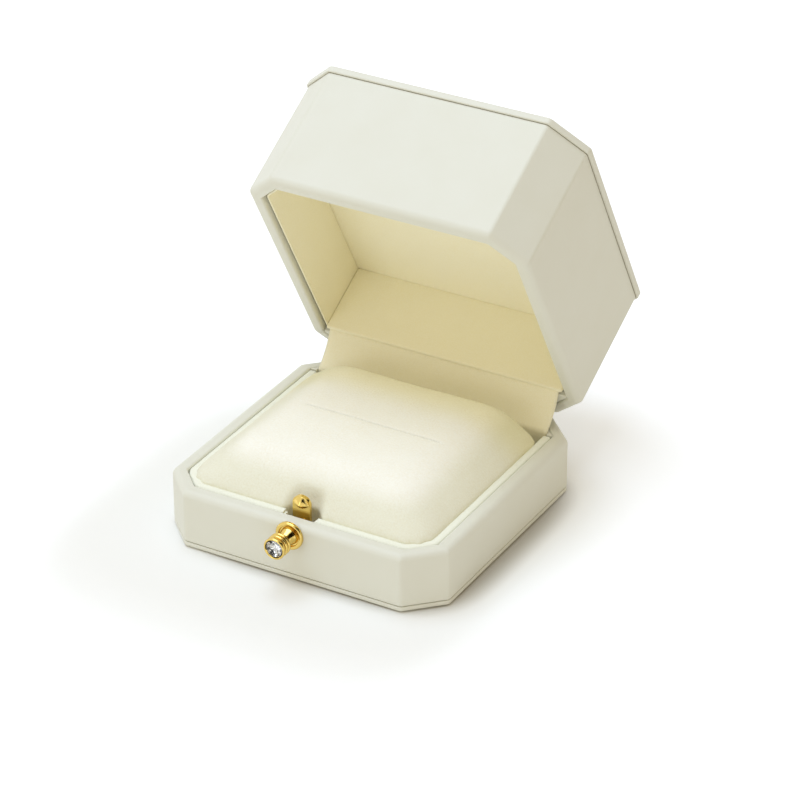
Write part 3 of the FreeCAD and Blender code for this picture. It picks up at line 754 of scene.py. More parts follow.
pad = {
    "halfWidth": 27.2,
    "front": -27.2,
    "rear": 21.9,           # stands clear of the closed lid's rear panel
    "floor": 3.65,
    "shoulder": 13.1,       # level at which the suede swells over the collar
    "lip": 0.25,            # half the height of that swelling
    "overhang": 0.9,
    "rearShoulder": 18.7,
    "top": 19.8,
    "slope": 8.6,           # how far the front and sides lean in before the flat middle
    "bevel": 1.2,           # 1 is a flat bevel, 2 a full round
    "rearSlope": 8.0,
    "corner": 5.0,
    "rearCorner": 2.6,
    "enlarge": 10,
    "voxel": 12.0,          # at the enlarged size
    "quality": 6,
    "pressure": 2.0,
    "frames": 20,
    "cap": 4.0,             # furthest that a point may swell, at the enlarged size
    "pinned": 13.6,         # the cushion is held by the collar below this height
    "slitLength": 32.6,
    "slitY": 0.2,
    "slitDepth": 1.1,
    "slitLip": 0.12,
    "dent": 2.75,           # room behind the hook, for when it is pressed back
    "dentHalfWidth": 5.0,
    "crown": 15,            # above this height the slit is cut
    "waves": ((9, 0.12), (3.5, 0.04)),  # size and height of the suede's unevenness
    "foamInset": 1.1,       # foam block inside the suede
    "foamTop": 16.8,
}


def padRing(inset, rearInset, height, steps=10):
    # rounded rectangle, counter-clockwise
    x = pad["halfWidth"] - inset
    front, rear = pad["front"] + inset, pad["rear"] - rearInset
    near = pad["corner"] - min(inset, 12) * 0.15
    far = pad["rearCorner"] + min(inset, 12) * 0.2
    ring = []
    for cx, cy, r, start in ((x - near, front + near, near, -90), (x - far, rear - far, far, 0),
                             (far - x, rear - far, far, 90), (near - x, front + near, near, 180)):
        ring += [Vector((*p, height)) for p in arc((cx, cy), r, start, start + 90, steps)]
    return ring


def padForm(shrink=0.0, top=pad["top"]):
    # straight sides inside the collar, a lip over it, then slopes up to the flat middle
    over, lip = pad["overhang"], pad["lip"]
    level = pad["shoulder"] - shrink
    rings = [padRing(shrink, shrink, pad["floor"]), padRing(shrink, shrink, level - lip)]
    rings += [padRing(shrink - over * 0.8, shrink, level), padRing(shrink - over, shrink, level + lip)]
    rise = pad["top"] - pad["shoulder"]
    rearStart = (pad["rearShoulder"] - pad["shoulder"]) / rise
    steps = 16
    for step in range(1, steps + 1):
        share = step / steps
        up = 1 - (1 - share) ** pad["bevel"]
        height = level + lip + (rise - lip) * up
        if height > top:
            break
        back = max(0.0, (up - rearStart) / (1 - rearStart))
        rings.append(padRing(shrink - over + (pad["slope"] + over) * share,
                             shrink + pad["rearSlope"] * (1 - math.sqrt(1 - back)), height))
    return loft(rings, capped=True)


def swollen(mesh):
    # a short cloth simulation under pressure, with the foot held
    mesh.transform(Matrix.Scale(pad["enlarge"], 4))
    holder = placed("padCloth", mesh)
    remesh = holder.modifiers.new("remesh", "REMESH")
    remesh.mode = "VOXEL"
    remesh.voxel_size = pad["voxel"] * mm
    start = resultOf(holder)
    holder.modifiers.clear()
    holder.data = start
    hold = holder.vertex_groups.new(name="held")
    level = pad["pinned"] * pad["enlarge"] * mm
    hold.add([v.index for v in start.vertices if v.co.z < level], 1.0, "REPLACE")
    cloth = holder.modifiers.new("cloth", "CLOTH")
    cloth.settings.quality = pad["quality"]
    cloth.settings.use_pressure = True
    cloth.settings.uniform_pressure_force = pad["pressure"]
    cloth.settings.vertex_group_mass = "held"
    cloth.settings.effector_weights.gravity = 0
    cloth.collision_settings.use_collision = False
    for number in range(1, pad["frames"] + 1):
        bpy.context.scene.frame_set(number)
    blown = resultOf(holder)
    for vert, first in zip(blown.vertices, start.vertices):
        move = vert.co - first.co
        if move.length > pad["cap"] * mm:
            vert.co = first.co + move.normalized() * pad["cap"] * mm
    bpy.data.objects.remove(holder)
    bpy.context.scene.frame_set(1)
    return blown


def smoothStep(low, high, value):
    share = min(1, max(0, (value - low) / (high - low)))
    return share * share * (3 - 2 * share)


def slitDrop(x, away):
    # how far the suede dives at this distance from the slit's middle line
    along = 1 - smoothStep(pad["slitLength"] / 2 - 1.2, pad["slitLength"] / 2 + 0.2, abs(x))
    lip = pad["slitLip"] * (1 - smoothStep(0.1, 1.2, away))
    cleft = pad["slitDepth"] * (1 - smoothStep(0.0, 0.2, away))
    return along * (lip + cleft)


def hookDent(x, y, z):
    # soft hollow behind the hook
    beside = 1 - smoothStep(1.8, pad["dentHalfWidth"], abs(x))
    return pad["dent"] * beside * (1 - smoothStep(-25, -19, y)) * (1 - smoothStep(13.5, 18.8, z))


def nearSlit(face):
    x, y, z = face.calc_center_median()
    return abs(x) < 18 * mm and abs(y / mm - pad["slitY"]) < 3 and z > pad["crown"] * mm


def makePad():
    mesh = swollen(meshFrom(padForm(), "ringPad"))
    mesh.transform(Matrix.Scale(1 / pad["enlarge"], 4))
    bm = opened(applied(mesh, ("CORRECTIVE_SMOOTH", {"iterations": 3, "use_only_smooth": True}),
                        ("SUBSURF", {"levels": 1, "render_levels": 1})))
    # finer faces beside the slit, then the slit, the hook's hollow and the suede's unevenness
    for offset in (0, 0.05, 0.12, 0.2, 0.4, 0.7, 1.2):
        for side in ((1, -1) if offset else (1,)):
            near = [face for face in bm.faces if nearSlit(face)]
            edges = {e for f in near for e in f.edges}
            verts = {v for f in near for v in f.verts}
            bmesh.ops.bisect_plane(bm, geom=list(verts) + list(edges) + near,
                                   plane_co=(0, (pad["slitY"] + side * offset) * mm, 0),
                                   plane_no=(0, 1, 0))
    for vert in bm.verts:
        x, y, z = vert.co / mm
        if z > pad["crown"]:
            vert.co.z -= slitDrop(x, abs(y - pad["slitY"])) * mm
        if z > pad["floor"] + 0.5:
            vert.co.y += hookDent(x, y, z) * mm
        wave = sum(noise.noise(vert.co / (size * mm)) * height for size, height in pad["waves"])
        if z > pad["shoulder"] - 0.1:
            vert.co.z += wave * mm
    obj = finishPiece("ringPad", meshFrom(bm, "ringPad", 180), "suede", "base", ["pad_suede"])
    block = meshFrom(padForm(pad["foamInset"], pad["foamTop"]), "padFoam")
    for vert in block.vertices:
        vert.co.y += (pad["dent"] + 0.3) * mm * (1 - smoothStep(-26, -18, vert.co.y / mm))
    finishPiece("padFoam", block, "foam", "base", ["pad_foam"])


makePad()
print("ring pad made")


# Springs: round wire along a path, with its bends softened

def wireTree():
    tree, source = newTree("bentWire", ["wireRadius", "bendRadius"])
    path = addNode(tree, "GeometryNodeMeshToCurve", {0: source["Geometry"]})
    bends = addNode(tree, "GeometryNodeFilletCurve", {
        "Curve": path, "Count": 3, "Radius": source["bendRadius"]}, mode="POLY")
    ring = addNode(tree, "GeometryNodeCurvePrimitiveCircle", {
        "Resolution": 12, "Radius": source["wireRadius"]})
    wire = addNode(tree, "GeometryNodeCurveToMesh", {
        "Curve": bends, "Profile Curve": ring, "Fill Caps": True})
    return closeTree(tree, source, wire)


bentWire = wireTree()
hinge = {
    "y": 32.25,
    "z": 11.15,
    "wire": 0.6,
    "coil": 1.0,            # to the middle of the wire
    "turns": 6 + (180 - math.degrees(openAngle)) / 360,
    "leg": 3.0,
    "gap": 0.1,
    "leafFront": 28.5,
    "bend": 0.35,
}
latch = {
    "y": -26.8,
    "z": 5.1,
    "wire": 0.35,
    "coil": 0.775,
    "turns": 3.25,
    "leg": 3.2,
    "gap": 0.1,
    "rise": 1.95,
    "hookBack": -27.35,
    "floor": 3.45,
    "bend": 0.2,
}


def coilPoints(spring, startAngle):
    # angles count from the lowest point towards the rear
    pitch = spring["wire"] + spring["gap"]
    count = int(round(spring["turns"] * 24))
    points = []
    for step in range(count + 1):
        share = step / count
        turn = math.radians(startAngle) + 2 * math.pi * spring["turns"] * share
        points.append(((share - 0.5) * pitch * spring["turns"],
                       spring["y"] + spring["coil"] * math.sin(turn),
                       spring["z"] - spring["coil"] * math.cos(turn)))
    return points


def makeSpring(name, spring, points, node):
    mesh = grown(name, bentWire, {"wireRadius": spring["wire"] / 2 * mm,
                                  "bendRadius": spring["bend"] * mm},
                 polyline(name, points), "spring_steel")
    obj = finishPiece(name, mesh, "spring_steel")
    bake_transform(obj)
    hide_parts(node)


def makeHingeSpring():
    # drawn at rest: one leg down the base's leaf, the other up the lid's
    inside = hinge["leafFront"] - hinge["gap"] - hinge["wire"] / 2
    low = hinge["z"] - hinge["coil"]
    high = hinge["z"] + hinge["coil"]
    coil = coilPoints(hinge, 0)
    first, last = coil[0][0], coil[-1][0]
    baseLeg = [(first, inside, low - hinge["leg"]), (first, inside, low)]
    lidLeg = [tuple(openLid @ (Vector((last, inside, z)) * mm) / mm)
              for z in (high, high + hinge["leg"])]
    makeSpring("hingeSpring", hinge, baseLeg + coil + lidLeg,
               "hinge_spring")


def makeLatchSpring():
    # one leg up the hook's back, the other along the bracket's floor
    y, z, leg = latch["y"], latch["z"], latch["leg"]
    inside = latch["hookBack"] + latch["gap"] + latch["wire"] / 2
    floor = latch["floor"] + latch["gap"] + latch["wire"] / 2
    bend = z + latch["rise"]
    coil = coilPoints(latch, -90)
    first, last = coil[0][0], coil[-1][0]
    upLeg = [(first, inside, bend + leg), (first, inside, bend),
             (first, y - latch["coil"], z + latch["coil"] + latch["wire"] / 2)]
    floorLeg = [(last, y + latch["coil"], floor), (last, y + leg, floor)]
    makeSpring("latchSpring", latch, upLeg + coil + floorLeg,
               "latch_spring")


makeHingeSpring()
makeLatchSpring()
print("springs made")


# Rivets: a shank and a domed head on every point, pointing along the tree's axis

def rivetTree():
    tree, source = newTree("domedRivets", ["headRadius", "headHeight", "shankRadius", "shankLength",
                                           "tilt"])
    dome = addNode(tree, "GeometryNodeMeshUVSphere", {
        "Segments": 24, "Rings": 12, "Radius": source["headRadius"]})
    squash = addNode(tree, "ShaderNodeMath", {
        0: source["headHeight"], 1: source["headRadius"]}, operation="DIVIDE")
    scale = addNode(tree, "ShaderNodeCombineXYZ", {"X": 1.0, "Y": 1.0, "Z": squash})
    flat = addNode(tree, "GeometryNodeTransform", {"Geometry": dome, "Scale": scale})
    half = addNode(tree, "ShaderNodeMath", {0: source["shankLength"], 1: -0.5}, operation="MULTIPLY")
    drop = addNode(tree, "ShaderNodeCombineXYZ", {"Z": half})
    shank = addNode(tree, "GeometryNodeMeshCylinder", {
        "Vertices": 24, "Radius": source["shankRadius"], "Depth": source["shankLength"]})
    sunk = addNode(tree, "GeometryNodeTransform", {"Geometry": shank, "Translation": drop})
    both = addNode(tree, "GeometryNodeJoinGeometry", {0: flat})
    tree.links.new(sunk.outputs[0], both.inputs[0])
    turn = addNode(tree, "ShaderNodeCombineXYZ", {"X": source["tilt"]})
    rows = addNode(tree, "GeometryNodeInstanceOnPoints", {
        "Points": source["Geometry"], "Instance": both, "Rotation": turn})
    return closeTree(tree, source, rows)


domedRivets = rivetTree()
rivetSizes = {
    "hinge": {"headRadius": 1.15, "headHeight": 0.45, "shankRadius": 0.6, "shankLength": 3.5},
    "latch": {"headRadius": 1.15, "headHeight": 0.45, "shankRadius": 0.6, "shankLength": 2.1},
    "strike": {"headRadius": 0.65, "headHeight": 0.2, "shankRadius": 0.35, "shankLength": 1.6},
}
# each pair sits at plus and minus x, with its heads turned about X from straight up
rivets = {
    "hingeRivetsBase": ("hinge", (9, 28.5, 6.65), 90, "base", "hinge_rivets_base"),
    "hingeRivetsLid": ("hinge", (9, 28.5, 15.65), 90, "lid", "hinge_rivets_lid"),
    "latchRivets": ("latch", (1.45, -22.05, 3.45), 0, "base", "latch_rivets"),
    "strikeRivets": ("strike", (3.1, -28.7, 16.6), -90, "lid", "strike_rivets"),
}


def makeRivets(name, size, place, tilt, body, node):
    x, y, z = place
    values = {key: value * mm for key, value in rivetSizes[size].items()}
    values["tilt"] = math.radians(tilt)
    mesh = grown(name, domedRivets, values, polyline(name, [(-x, y, z), (x, y, z)]), "steel")
    if body == "lid":
        swungOpen(mesh)
    finishPiece(name, mesh, "steel", body, [node])


for name, look in rivets.items():
    makeRivets(name, *look)
print("rivets made")


# Push button: turned gold pieces on an axis along Y

button = {
    "height": 10.6,
    "segments": 72,
    "bore": 1.15,
    "sleeve": 1.8,          # radius inside the wall
    "sleeveEnd": -2.95,
    "head": 3.5,            # wall to the back of the head
    "headRadius": 2.4,
    "bead": 0.75,
    "beadGap": 0.2,
    "beadRound": 0.37,
    "beads": 2,
    "bezel": 1.0,
    "stone": 1.84,
    "seat": 0.5,
    "stemTip": -4.25,
    "stem": 1.1,
}
beadPitch = button["bead"] + button["beadGap"]
bezelBack = button["head"] + button["beads"] * beadPitch
bezelFront = bezelBack + button["bezel"]


def aboutAxis(distance, radius, turn):
    # a point in front of the wall, turned about the button's axis from straight up
    return Vector((radius * math.sin(turn), frontWall - distance,
                   button["height"] + radius * math.cos(turn)))


def turnedPiece(name, profile, closed=True):
    # profile is (distance in front of the wall, radius) round a half section
    turns = [2 * math.pi * step / button["segments"] for step in range(button["segments"])]
    rings = [[aboutAxis(distance, radius, turn) for turn in turns] for distance, radius in profile]
    return meshFrom(loft(rings, closed=closed, capped=not closed), name, 50)


def makeBush():
    # sleeve through the wall, flange with a sunken ring, and a neck that narrows to the stem
    bore, sleeve, end = button["bore"], button["sleeve"], button["sleeveEnd"]
    profile = [(end, bore), (end, sleeve), (0, sleeve), (0, 3.05)]
    profile += arc((0.1, 3.0), 0.1, 180, 90, 3)
    profile += arc((0.42, 2.72), 0.38, 90, 0, 8)
    profile += arc((0.7, 2.42), 0.1, 0, -90, 4)
    profile += [(0.15, 2.3), (0.08, 2.2), (0.08, 2.0), (0.2, 1.9)]
    profile += arc((0.7, 1.5), 0.38, 110, 50, 6)
    profile += [(1.5, 1.56), (2.1, 1.34), (2.3, 1.24), (2.3, bore)]
    finishPiece("buttonBush", turnedPiece("buttonBush", profile), "gold_plate", "base",
                ["button_bush"])


def beadTree():
    # rings side by side along the axis, each a rounded band
    tree, source = newTree("beadRow", ["radius", "beadLength", "beadRound", "pitch"], ["count"])
    line = addNode(tree, "ShaderNodeCombineXYZ", {"Z": source["pitch"]})
    places = addNode(tree, "GeometryNodeMeshLine", {"Count": source["count"], "Offset": line})
    inner = addNode(tree, "ShaderNodeMath", {0: source["radius"], 1: 0.62}, operation="MULTIPLY")
    wide = addNode(tree, "ShaderNodeMath", {0: source["radius"], 1: inner}, operation="SUBTRACT")
    middle = addNode(tree, "ShaderNodeMath", {0: source["radius"], 1: 0.81}, operation="MULTIPLY")
    box = addNode(tree, "GeometryNodeCurvePrimitiveQuadrilateral", {
        "Width": wide, "Height": source["beadLength"]})
    section = addNode(tree, "GeometryNodeFilletCurve", {
        "Curve": box, "Count": 6, "Radius": source["beadRound"]}, mode="POLY")
    ring = addNode(tree, "GeometryNodeCurvePrimitiveCircle", {"Resolution": 72, "Radius": middle})
    bead = addNode(tree, "GeometryNodeCurveToMesh", {"Curve": ring, "Profile Curve": section})
    row = addNode(tree, "GeometryNodeInstanceOnPoints", {"Points": places, "Instance": bead})
    return closeTree(tree, source, row)


def makeHead():
    # beads from the tree, on a turned core with the stone's bezel
    mesh = grown("buttonBeads", beadTree(), {
        "radius": button["headRadius"] * mm, "beadLength": button["bead"] * mm,
        "beadRound": button["beadRound"] * mm, "pitch": beadPitch * mm, "count": button["beads"]},
        polyline("beads", [(0, 0, 0), (0, 0, 1)]), "gold_plate")
    start = frontWall - button["head"] - button["bead"] / 2
    mesh.transform(Matrix.Translation((0, start * mm, button["height"] * mm))
                   @ Matrix.Rotation(math.pi / 2, 4, "X"))
    back, mouth, front, stone = button["head"] + 0.1, bezelBack, bezelFront, button["stone"]
    core = [(back, 1.3), (back, 1.85), (mouth - 0.05, 1.85), (mouth, 1.95)]
    core += arc((mouth + 0.35, 2.02), 0.35, 170, 90, 6)
    core += arc((front - 0.28, 2.1), 0.28, 90, 0, 8)
    core += arc((front - 0.12, 2.08), 0.1, 0, -90, 4)
    core += [(front - 0.3, stone + 0.03), (front - button["seat"] - 0.25, stone - 0.1),
             (front - 0.8, 1.3)]
    bm = opened(mesh)
    bm.from_mesh(turnedPiece("core", core))
    finishPiece("buttonHead", meshFrom(bm, "buttonHead", 50), "gold_plate", "button",
                ["button_head"])


def makeStem():
    # a waisted rod from the head through the bush to its domed tip behind the wall
    tip, rod, dome = button["stemTip"], button["stem"], 0.45
    profile = [(tip, 0.02)]
    profile += [(tip + dome * (1 - math.cos(math.radians(a))), rod * math.sin(math.radians(a)))
                for a in (20, 40, 60, 80, 90)]
    profile += [(tip + dome, 1.25), (tip + 0.75, 1.3), (tip + 0.75, rod), (1.9, rod), (2.6, 1.02),
                (3.3, rod), (3.55, 1.25), (3.9, 1.28), (3.9, 0.02)]
    finishPiece("buttonStem", turnedPiece("buttonStem", profile, closed=False), "gold_plate",
                "button", ["button_stem"])


def foilFinish():
    # silvered backing with painted reflections: random cells round the stone are painted bright or dark, standing
    # in for facets that mirror light and dark
    look = {"bright": "#F6F3EC", "dark": "#2E2720", "wedges": 16, "ring": 0.55, "pick": 3.0}
    material, tree, place = newMaterial("silverFoil")
    centred = addNode(tree, "ShaderNodeVectorMath", {0: place, 1: (0, 0, -button["height"] * mm)},
                      operation="ADD")
    parts = addNode(tree, "ShaderNodeSeparateXYZ", {"Vector": centred}).outputs
    flat = addNode(tree, "ShaderNodeCombineXYZ", {"X": parts["X"], "Y": parts["Z"]})
    away = addNode(tree, "ShaderNodeVectorMath", {0: flat}, operation="LENGTH").outputs["Value"]
    turn = addNode(tree, "ShaderNodeMath", {0: parts["X"], 1: parts["Z"]}, operation="ARCTAN2")
    cells = []
    for source, scale in ((turn, look["wedges"] / (2 * math.pi)), (away, perMm(look["ring"]))):
        spread = addNode(tree, "ShaderNodeMath", {0: source, 1: scale}, operation="MULTIPLY")
        cells.append(addNode(tree, "ShaderNodeMath", {0: spread}, operation="FLOOR"))
    cell = addNode(tree, "ShaderNodeCombineXYZ", {"X": cells[0], "Y": cells[1], "Z": look["pick"]})
    chance = addNode(tree, "ShaderNodeTexWhiteNoise", {"Vector": cell})
    share = addNode(tree, "ShaderNodeMapRange", {"Value": chance, "From Min": 0.3, "From Max": 0.6})
    # painted reflections: each cell takes the dark or the bright colour
    tone = addNode(tree, "ShaderNodeMixRGB", {
        "Fac": share, "Color1": linear(look["dark"]), "Color2": linear(look["bright"])})
    return shaded(material, {"Base Color": tone, "Metallic": 1.0, "Roughness": 0.08})


def makeStone():
    # brilliant cut: table, star, kite and girdle facets in front, pavilion facets behind
    radius, crown = button["stone"], 0.62
    girdle = bezelFront - 0.12
    levels = [(radius * 0.58, girdle + crown, 8, 0.5), (radius * 0.8, girdle + crown * 0.62, 8, 0.0),
              (radius * 0.985, girdle, 16, 0.0), (radius * 0.985, girdle - 0.1, 16, 0.0),
              (radius * 0.45, girdle - 0.75, 8, 0.5), (0, girdle - 1.25, 1, 0.0)]
    bm = bmesh.new()
    for size, distance, count, shift in levels:
        for number in range(count):
            turn = 2 * math.pi * (number + shift) / count
            bm.verts.new(aboutAxis(distance, size, turn) * mm)
    bmesh.ops.convex_hull(bm, input=bm.verts)
    bmesh.ops.dissolve_limit(bm, angle_limit=math.radians(1), verts=bm.verts, edges=bm.edges)
    finishPiece("buttonCrystal", meshFrom(bm, "buttonCrystal", 1), "crystal", "button",
                ["button_crystal"])
    # foil cup under the stone, which throws the light back through it
    cup = [(girdle - 0.12, radius * 0.99)]
    cup += [(girdle - 1.27 * share, radius * (1 - share) + 0.04) for share in (0.3, 0.6, 0.99)]
    foil = turnedPiece("stoneFoil", cup + [(d - 0.05, r) for d, r in reversed(cup)])
    finishPiece("stoneFoil", foil, "crystal", "button", material=foilFinish())


makeBush()
makeHead()
makeStem()
makeStone()
print("push button made")


# Hook: a stamped plate whose top is folded forward into a beak

hook = {
    "halfWidth": 2.0,
    "front": -28.15,
    "thickness": 0.8,
    "top": 17.3,
    "pin": (-26.8, 5.1),
    "bore": 0.55,
    "barrel": 1.35,
    "barrelEdge": 0.1,
    "springGap": 0.95,      # half width of the gap in the barrel
    "shoulder": 1.9,
    "bevel": 0.12,
    "beakReach": 1.0,
    "beakHalfWidth": 1.85,
    "beakAbove": 1.55,      # from the beak's point up to where it starts
    "beakBelow": 1.0,
    "point": 15.55,
    "columns": 44,
    "rows": 110,
    "segments": 48,
}


def beak(x, z):
    # how far the front face stands forward: a rounded pyramid with a crease down its middle
    rise = z - hook["point"]
    upright = rise / hook["beakAbove"] if rise > 0 else -rise / hook["beakBelow"]
    share = 1 - math.hypot(abs(x) / hook["beakHalfWidth"], 0.35 * upright) - 0.65 * upright
    return hook["beakReach"] * share ** 0.7 if share > 0 else 0.0


def hookHalf(z):
    # half the plate's width at this height, under its rounded top
    rounding, down = hook["shoulder"], hook["top"] - z
    if down >= rounding:
        return hook["halfWidth"]
    return hook["halfWidth"] - rounding + math.sqrt(max(0.0, rounding ** 2 - (rounding - down) ** 2))


def hookPlate():
    columns, rows = hook["columns"], hook["rows"]
    low = hook["pin"][1]
    bm = bmesh.new()
    sheets = []
    for face in ("front", "back"):
        grid = []
        for row in range(rows + 1):
            z = low + (hook["top"] - low) * row / rows
            line = []
            for column in range(columns + 1):
                x = hookHalf(z) * (2 * column / columns - 1)
                y = hook["front"] + (hook["thickness"] if face == "back" else -beak(x, z))
                line.append(bm.verts.new(Vector((x, y, z)) * mm))
            grid.append(line)
        fillGrid(bm, grid)
        sheets.append(grid)
    front, back = sheets
    for end in (0, -1):
        fillGrid(bm, [[row[end] for row in front], [row[end] for row in back]])
        fillGrid(bm, [front[end], back[end]])
    return applied(meshFrom(bm, "latchHook", 60), ("BEVEL", {
        "width": hook["bevel"] * mm, "segments": 3, "limit_method": "ANGLE",
        "angle_limit": math.radians(60)}))


def makeHook():
    # the plate, and the barrel that turns on the pin, with a gap in its middle for the spring
    bm = opened(hookPlate())
    y, z = hook["pin"]
    bore, barrel, edge = hook["bore"], hook["barrel"], hook["barrelEdge"]
    inner, outer = hook["springGap"], hook["halfWidth"]
    turns = [2 * math.pi * i / hook["segments"] for i in range(hook["segments"])]
    for side in (-1, 1):
        section = [(inner, bore), (inner, barrel - edge), (inner + edge, barrel),
                   (outer - edge, barrel), (outer, barrel - edge), (outer, bore)]
        loft([[Vector((side * x, y + r * math.sin(t), z + r * math.cos(t))) for t in turns]
              for x, r in section], closed=True, bm=bm)
    mesh = cutBox(meshFrom(bm, "latchHook", 50), (0.01 - inner, hook["front"] - 0.1, z - 1.4),
                  (inner - 0.01, y + 1.4, z + 1.95))
    finishPiece("latchHook", mesh, "gold_plate", "latch", ["latch_hook"])


makeHook()
print("hook made")


# Strike plate: inside the lid's front, with the slot that the beak springs into

strike = {
    "halfWidth": 4.6,
    "wall": -29.3,
    "thickness": 0.6,
    "low": lidRim + 0.75,
    "high": lidRim + 6.0,
    "slotHalf": 1.6,
    "slotLow": 14.65,
    "slotHigh": 17.6,
    "edgeRound": 0.14,
}


def makeStrikePlate():
    half, slot, wall = strike["halfWidth"], strike["slotHalf"], strike["wall"]
    plate = roundedPanel("strikePlate", (-half, wall, strike["low"]),
                         (half, wall + strike["thickness"], strike["high"]), strike["edgeRound"])
    plate = cutBox(plate, (-slot, wall - 1, strike["slotLow"]), (slot, wall + 1, strike["slotHigh"]))
    finishPiece("strikePlate", swungOpen(plate), "gold_plate", "lid", ["strike_plate"])


makeStrikePlate()
print("strike plate made")


# Studio: pale floor, soft light from the front left, and the camera

studio = {
    "floorSize": 3.0,
    "floor": "#F8F8F6",
    "fibre": 30,
    # painted glow: the floor glows more away from the box, so the open floor comes up to white
    # while shadows near the box stay: (centre, distance from it where a lift starts, where it is full, how much)
    "lifts": (((-0.0055, -0.018, 0), 0.040, 0.062, 0.25), ((-0.0055, -0.007, 0), 0.040, 0.058, 0.08),
              ((-0.0055, -0.007, 0), 0.12, 0.9, 0.6)),
    "liftColour": "#DFEAFF",
    # painted shadow: the floor is painted darker where the right wall stands on it
    "paintedShadow": (0.030, 0.036),
    "paintedShadowColour": "#C2BFB7",
    "paintedShadowCentre": (0.003, 0, 0),
    "card": "#1C1712",
    "world": "#FFF1D4",
    "worldLevel": 0.635,
}
cards = {
    "cardRight": {"place": (0.62, 0.10, 0.52), "size": 0.8},
    "cardBehindCamera": {"place": (0.33, -0.74, 0.52), "size": 0.5},
    "cardBehindBox": {"place": (0.36, 0.50, 0.32), "size": 0.6},
}
lamps = {
    "softbox": {"place": (-0.28, -0.12, 1.26), "size": 1.2, "power": 11.1, "colour": "#CFE3FF"},
    "windowSide": {"place": (-0.30, -1.33, 0.12), "size": 0.9, "power": 2.8, "colour": "#EDF9FF"},
}
lampTarget = (0, 0, 0.03)
view = {
    "lens": 167.24,
    "sensor": 36.0,
    "place": (0.3322, -0.5707, 0.4013),
    "azimuth": 29.696,      # to the right of the front, in degrees
    "elevation": 29.642,
}


def squareAway(tree, place, centre):
    # distance from a centre along a square with rounded corners
    moved = addNode(tree, "ShaderNodeVectorMath", {0: place, 1: centre}, operation="SUBTRACT")
    parts = addNode(tree, "ShaderNodeSeparateXYZ", {"Vector": moved})
    sides = [addNode(tree, "ShaderNodeMath", {0: parts.outputs[axis], 1: 4.0}, operation="POWER")
             for axis in ("X", "Y")]
    both = addNode(tree, "ShaderNodeMath", {0: sides[0], 1: sides[1]})
    return addNode(tree, "ShaderNodeMath", {0: both, 1: 0.25}, operation="POWER")


def seenRays(tree, clamp):
    # 1 for what the camera, a mirror or glass sees
    path = addNode(tree, "ShaderNodeLightPath").outputs
    seen = addNode(tree, "ShaderNodeMath", {0: path["Is Camera Ray"], 1: path["Is Glossy Ray"]},
                   operation="ADD")
    return addNode(tree, "ShaderNodeMath", {0: seen, 1: path["Is Transmission Ray"]},
                   operation="ADD", use_clamp=clamp)


def flatBoard(name, half):
    bm = bmesh.new()
    bmesh.ops.create_grid(bm, x_segments=1, y_segments=1, size=half)
    board = placed(name, meshFrom(bm, name))
    return board


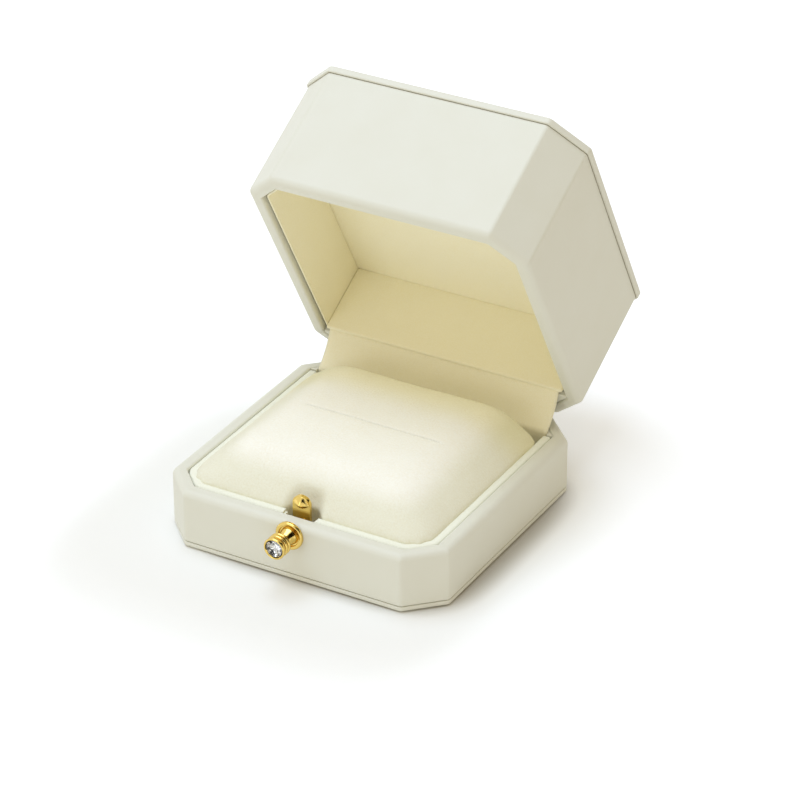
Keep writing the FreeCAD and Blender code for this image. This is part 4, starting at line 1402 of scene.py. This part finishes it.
def paperFinish():
    # white background paper: matt, with a painted glow that lifts the open field and a painted shadow by the right
    # wall
    material, tree, place = newMaterial("whitePaper")
    fibre = addNode(tree, "ShaderNodeTexNoise", {"Vector": place, "Scale": perMm(studio["fibre"])})
    gloss = addNode(tree, "ShaderNodeMapRange", {"Value": fibre, "To Min": 0.85, "To Max": 0.95})
    # painted shadow: the floor colour darkens towards the right wall
    near, far = studio["paintedShadow"]
    clear = addNode(tree, "ShaderNodeMapRange", {
        "Value": squareAway(tree, place, studio["paintedShadowCentre"]), "From Min": near,
        "From Max": far}, interpolation_type="SMOOTHSTEP")
    tone = addNode(tree, "ShaderNodeMixRGB", {
        "Fac": clear, "Color1": linear(studio["paintedShadowColour"]), "Color2": linear(studio["floor"])})
    total = 0.0
    # painted glow: emission seen by the camera, mirrors and glass, stronger away from the box
    for centre, near, far, most in studio["lifts"]:
        step = addNode(tree, "ShaderNodeMapRange", {
            "Value": squareAway(tree, place, centre), "From Min": near, "From Max": far,
            "To Max": most}, interpolation_type="SMOOTHSTEP")
        total = addNode(tree, "ShaderNodeMath", {0: total, 1: step})
    lift = addNode(tree, "ShaderNodeMath", {0: seenRays(tree, False), 1: total},
                   operation="MULTIPLY")
    return shaded(material, {
        "Base Color": tone, "Roughness": gloss, "Specular IOR Level": 0.0,
        "Emission Color": linear(studio["liftColour"]), "Emission Strength": lift})


def aim(obj, place, target, axis):
    obj.location = place
    obj.rotation_mode = "QUATERNION"
    obj.rotation_quaternion = (Vector(target) - Vector(place)).to_track_quat(axis, "Y")


def makeCard(name, place, size):
    # dark card that only mirrors and glass can see
    card = flatBoard(name, size / 2)
    aim(card, place, (0, 0, 0), "Z")
    card.visible_camera = False
    card.visible_diffuse = False
    card.visible_shadow = False
    material = newMaterial(name)[0]
    card.data.materials.append(shaded(material, {
        "Base Color": linear(studio["card"]), "Specular IOR Level": 0.0}))


def makeWorld():
    world = bpy.data.worlds.new("studioAir")
    world.use_nodes = True
    bpy.context.scene.world = world
    tree = world.node_tree
    tree.nodes.clear()
    air = addNode(tree, "ShaderNodeBackground", {
        "Color": linear(studio["world"]), "Strength": studio["worldLevel"]})
    white = addNode(tree, "ShaderNodeBackground", {"Color": (1, 1, 1, 1), "Strength": 1.0})
    both = addNode(tree, "ShaderNodeMixShader", {0: seenRays(tree, True), 1: air, 2: white})
    addNode(tree, "ShaderNodeOutputWorld", {"Surface": both})


def makeLamp(name, look):
    lamp = bpy.data.lights.new(name, "AREA")
    lamp.shape = "DISK"
    lamp.size = look["size"]
    lamp.energy = look["power"]
    lamp.color = linear(look["colour"])[:3]
    aim(placed(name, lamp), look["place"], lampTarget, "-Z")


def makeCamera():
    camera = bpy.data.cameras.new("camera")
    camera.lens = view["lens"]
    camera.sensor_width = view["sensor"]
    obj = placed("camera", camera)
    obj.location = view["place"]
    obj.rotation_euler = (math.radians(90 - view["elevation"]), 0, math.radians(view["azimuth"]))
    bpy.context.scene.camera = obj


flatBoard("floor", studio["floorSize"]).data.materials.append(paperFinish())
for name, look in cards.items():
    makeCard(name, **look)
makeWorld()
for name, look in lamps.items():
    makeLamp(name, look)
makeCamera()
bpy.context.scene.view_settings.view_transform = "Standard"
print("studio made")
